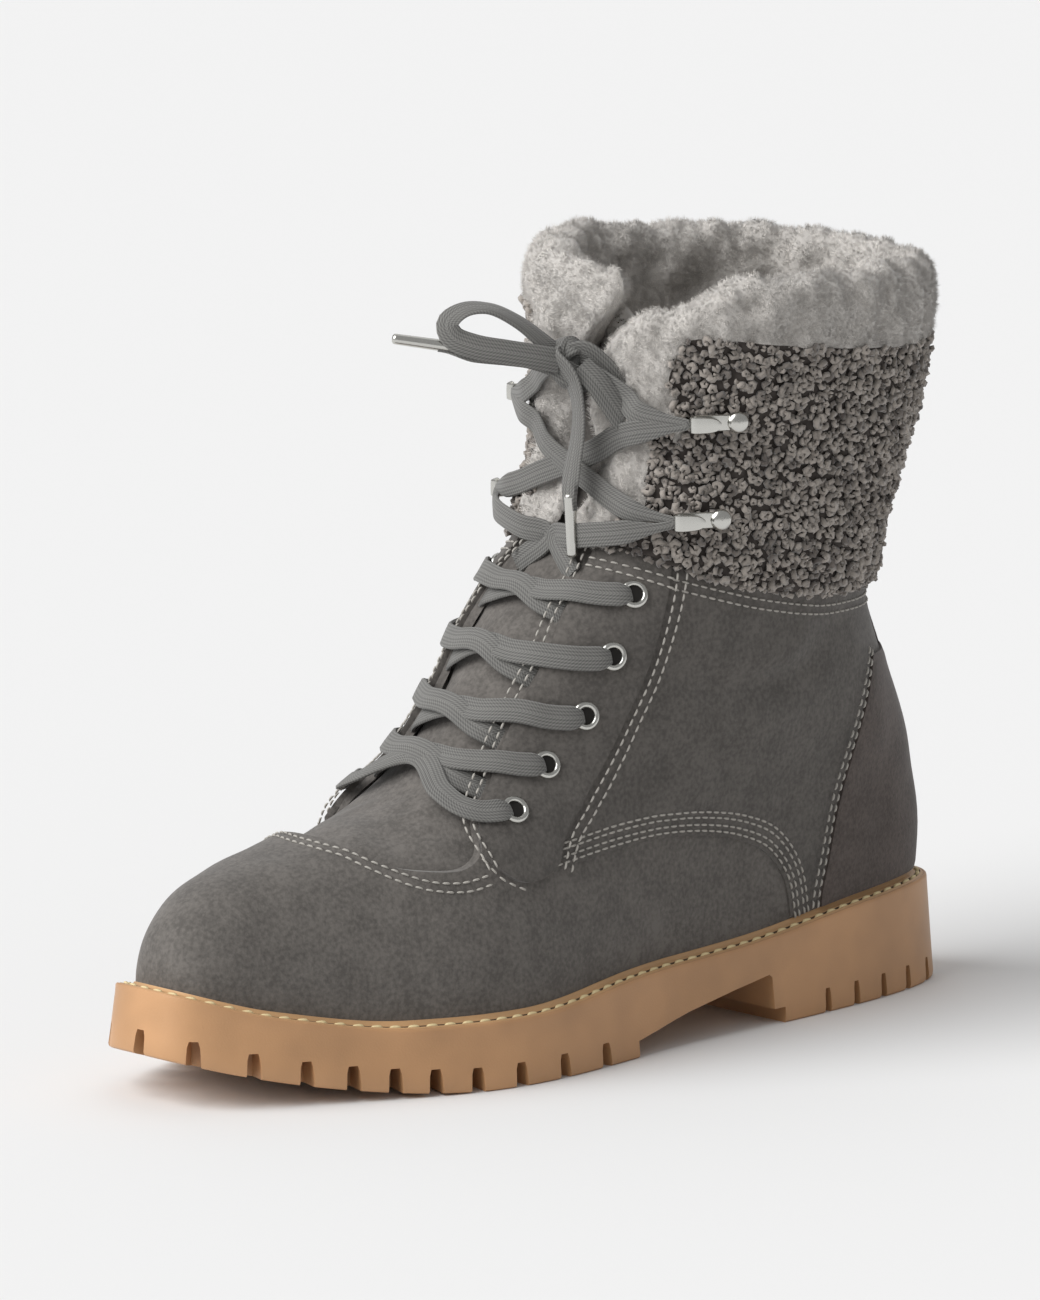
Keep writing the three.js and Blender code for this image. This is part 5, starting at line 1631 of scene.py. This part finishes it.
# ---- Lace ----
class BOOT_OT_lace(bpy.types.Operator):
    """Runs the flat lace through the eyelets, round the hooks and up to the knot"""

    bl_idname = "boot.lace"
    bl_label = "Lace"

    def execute(self, context):
        sizes = context.scene.boot_sizes
        wide, thick = sizes.lace_width / MM, sizes.lace_thick / MM
        spots = [np.array(to_shell(1, [row]))[:, 0] for row in EYELETS]
        levels = np.linspace(0.2, 0.95, 400)
        ridge, _ = off_shell(np.ones(400), levels)
        ridges = []
        for turn, level in spots:
            at, _ = off_shell(np.array([turn]), np.array([level]))
            ridges.append(levels[np.linalg.norm((ridge - at)[:, 1:], axis=-1).argmin()])
        edge = on_side(1, FACING)

        def edge_turn(level):
            return float(np.interp(level, edge[:, 1], edge[:, 0]))

        def strand(name, rows, start_narrow, end_narrow):
            """A lace over the shell through (turn, level, out) rows."""
            line = through(np.array(rows) * (ACROSS, UPWARDS, 1), 14) / (ACROSS, UPWARDS, 1)
            points, normal = off_shell(line[:, 0], line[:, 1], line[:, 2])
            even = np.linspace(0, 1, 90)
            normal = along(np.hstack([points, normal * 1e-3]), even)[:, 3:]
            points = along(points, even)
            run = even * length_of(points)
            breadth = wide * np.ones(90)
            for narrow, far in ((start_narrow, run), (end_narrow, run[-1] - run)):
                if narrow:
                    breadth *= 0.5 + 0.5 * smooth(far / 6.5)
            lift = 0.12 * waves(points, 9, 41)
            return ribbon(name, points + normal * 1e3 * lift[:, None], normal, breadth, thick, "lace")

        def nearest_way(a, b, line, keep=0.0):
            """Where the shortest way from a to b crosses a line of (turn, level), kept near b's height."""
            spots_on = off_shell(line[:, 0], line[:, 1])[0]
            ends = [off_shell(np.array([turn]), np.array([level]))[0] for turn, level in (a, b)]
            far = sum(np.linalg.norm(spots_on - end, axis=-1) for end in ends)
            far = far + keep * np.abs(spots_on[:, 2] - ends[1][0, 2])
            return tuple(line[far.argmin()])

        middle = np.stack([np.ones(400), levels], -1)
        far_edge = edge * (-1, 1) + (2, 0)
        strands = []
        turn0, level0 = spots[0]
        edge0 = edge_turn(level0)
        bar = [(turn0, level0, 0.6), (turn0 + 0.014, level0, 3.0), (edge0, level0 + 0.002, 2.9)]
        bar += [((edge0 + 1) / 2, (level0 + ridges[0]) / 2 + 0.002, 1.9), (1, ridges[0] + 0.004, 1.5)]
        bar += [(2 - t, l, o) for t, l, o in bar[-2::-1]]
        strands.append(strand("bar", bar, True, True))
        for i in range(4):
            for side in (1, -1):
                here, there = tuple(spots[i]), (2 - spots[i + 1][0], spots[i + 1][1])
                over = 1.8 if side > 0 else 0.4
                crest = nearest_way(here, there, middle)
                crest = (crest[0], crest[1] - 0.012)
                out_from = nearest_way(here, crest, edge)
                in_to = nearest_way(crest, there, far_edge, 0.7)
                rows = [
                    (here[0] + 0.012, here[1] + (out_from[1] - here[1]) * 0.3, -2.3),
                    (*out_from, -1.5),
                    ((out_from[0] + 1) / 2, (out_from[1] + crest[1]) / 2, -0.5 + over * 0.4),
                    (*crest, over),
                    ((in_to[0] + 1) / 2, (in_to[1] + crest[1]) / 2, 1.3 + over * 0.4),
                    (*in_to, 3.0),
                    ((in_to[0] + there[0]) / 2, in_to[1] * 0.38 + there[1] * 0.62, 3.3),
                    (there[0] - 0.012, there[1], 3.0),
                    (*there, 0.6),
                ]
                if side < 0:
                    rows = [(2 - t, l, o) for t, l, o in rows]
                strands.append(strand(f"cross_{i}_{side}", rows, False, True))
        body = join(strands, "lace_over_tongue")
        piece(body, "lace", *[f"lace_cross_{i}" for i in range(1, 5)])
        uppers = [self.hook_run(side, ridges[4], wide, thick) for side in (1, -1)]
        shown = ("lace_cross_5", "lace_cross_6", "lace_tie_lateral", "lace_tie_medial")
        piece(join(uppers, "lace_over_cuff"), "lace", *shown)
        return {"FINISHED"}

    def hook_run(self, side, ridge_level, wide, thick):
        """From under the last eyelet, across to the lower hook, back to the upper hook and to the knot."""
        over = CUFF_THICK + 2.4
        under = ([1 - side * 0.09], [ridge_level - 0.012], [-1.4])
        start, _ = off_shell(*(np.array(v) for v in under))
        hooks = [np.pi - leg_angle(1, station + 13, height) for station, height in HOOKS]
        bends = [np.pi - leg_angle(1, station + 6, height) for station, height in HOOKS]
        (low, high), lift = (HOOKS[0][1], HOOKS[1][1]), 0.9 * (side > 0)
        # Angle from the front, height and distance out, with the two hooks' bends at places 4 and 12.
        rows = [
            (0.04, 142.0, 1.6 + lift), (0.2, 143.4, over - 5.4), (0.36, low - 4.2, over - 2.6),
            (hooks[0], low - 2.9, over - 0.4), (bends[0], low, over + 1.2),
            (hooks[0], low + 2.9, over - 0.4), (0.38, low + 5.2, over - 2.4), (0.2, low + 9, over - 3.8),
            (0, low + 13.2, over - 4.4 + lift), (-0.18, low + 17.4, over - 3.6 + lift),
            (-0.32, high - 5, over - 2.6), (-hooks[1], high - 2.9, over - 0.4),
            (-bends[1], high, over + 1.2), (-hooks[1], high + 2.9, over - 0.4),
            (-0.36, high + 6, over - 2.2), (-0.24, high + 10, over - 1.4),
            (-0.13, KNOT_HEIGHT - 1.8, over - 0.2), (-0.06, KNOT_HEIGHT - 0.4, over + 0.8),
        ]
        turns = [side * (np.pi - t) if t >= 0 else -side * (np.pi + t) for t, _, _ in rows]
        points = np.vstack([start, *[off_leg(turn, h, o)[None] for turn, (_, h, o) in zip(turns, rows)]])
        line = along(through(points, 12), np.linspace(0, 1, 260))
        face = line - place(0, CENTRE_STATION, line[:, 2])
        bend_at = [np.linalg.norm(line - points[1 + row], axis=-1) for row in (4, 12)]
        open_ = smooth((np.minimum(*bend_at) - 3) / 13)
        breadths, heights = wide * (0.36 + 0.64 * open_), thick * (1.5 - 0.5 * open_)
        return ribbon(f"run_{side}", line, face, breadths, heights, "lace")


# ---- Stage ----
class BOOT_OT_stage(bpy.types.Operator):
    """Sets a plain pale floor and soft studio light"""

    bl_idname = "boot.stage"
    bl_label = "Stage"

    def execute(self, context):
        half = 6000  # mm
        corners = [(-half, -half, 0), (half, -half, 0), (half, half, 0), (-half, half, 0)]
        pale = plain_material("pale_floor", srgb("#e9e9e9"), 0.9)
        floor = mesh_object("floor", corners, [(0, 1, 2, 3)], [pale])
        scene = context.scene
        scene.view_settings.view_transform = "Standard"
        world = bpy.data.worlds.new("studio")
        scene.world = world
        world.use_nodes = True
        sky = world.node_tree.nodes["Background"]
        feed(sky, {"Color": (1, 1, 1, 1), "Strength": 0.36})
        # Name, place, strength and the sun's breadth in degrees, which softens the shadow.
        suns = (("key", (-0.30, -0.95, 0.86), 3.2, 55), ("soft_back", (-0.5, 0.7, 0.9), 0.35, 60))
        for name, way, power, spread in suns:
            data = bpy.data.lights.new(name, "SUN")
            data.energy, data.angle = power, np.radians(spread)
            made = bpy.data.objects.new(name, data)
            made.location = way
            made.rotation_euler = Vector(way).to_track_quat("Z", "Y").to_euler()
            scene.collection.objects.link(made)
        return {"FINISHED"}


ORDER = (
    BOOT_OT_camera,
    BOOT_OT_bow,
    BOOT_OT_sole,
    BOOT_OT_upper,
    BOOT_OT_panels,
    BOOT_OT_seams,
    BOOT_OT_tongue,
    BOOT_OT_cuff,
    BOOT_OT_metal,
    BOOT_OT_lace,
    BOOT_OT_stage,
)


class BOOT_PT_pieces(bpy.types.Panel):
    """The boot's pieces, colours and sizes"""

    bl_label = "Sheepskin Boot"
    bl_idname = "BOOT_PT_pieces"
    bl_space_type = "VIEW_3D"
    bl_region_type = "UI"
    bl_category = "Boot"

    def draw(self, context):
        for operator in ORDER:
            self.layout.operator(operator.bl_idname)
        for group in (context.scene.boot_sizes, context.scene.boot_colours):
            for name in group.__annotations__:
                self.layout.prop(group, name)


CLASSES = (BootColours, BootSizes, *ORDER, BOOT_PT_pieces)


def register():
    for item in CLASSES:
        bpy.utils.register_class(item)
    bpy.types.Scene.boot_colours = bpy.props.PointerProperty(type=BootColours)
    bpy.types.Scene.boot_sizes = bpy.props.PointerProperty(type=BootSizes)


def unregister():
    del bpy.types.Scene.boot_sizes
    del bpy.types.Scene.boot_colours
    for item in reversed(CLASSES):
        bpy.utils.unregister_class(item)


def main():
    register()
    crease()
    for operator in ORDER:
        group, name = operator.bl_idname.split(".")
        getattr(getattr(bpy.ops, group), name)()


if __name__ == "__main__":
    main()
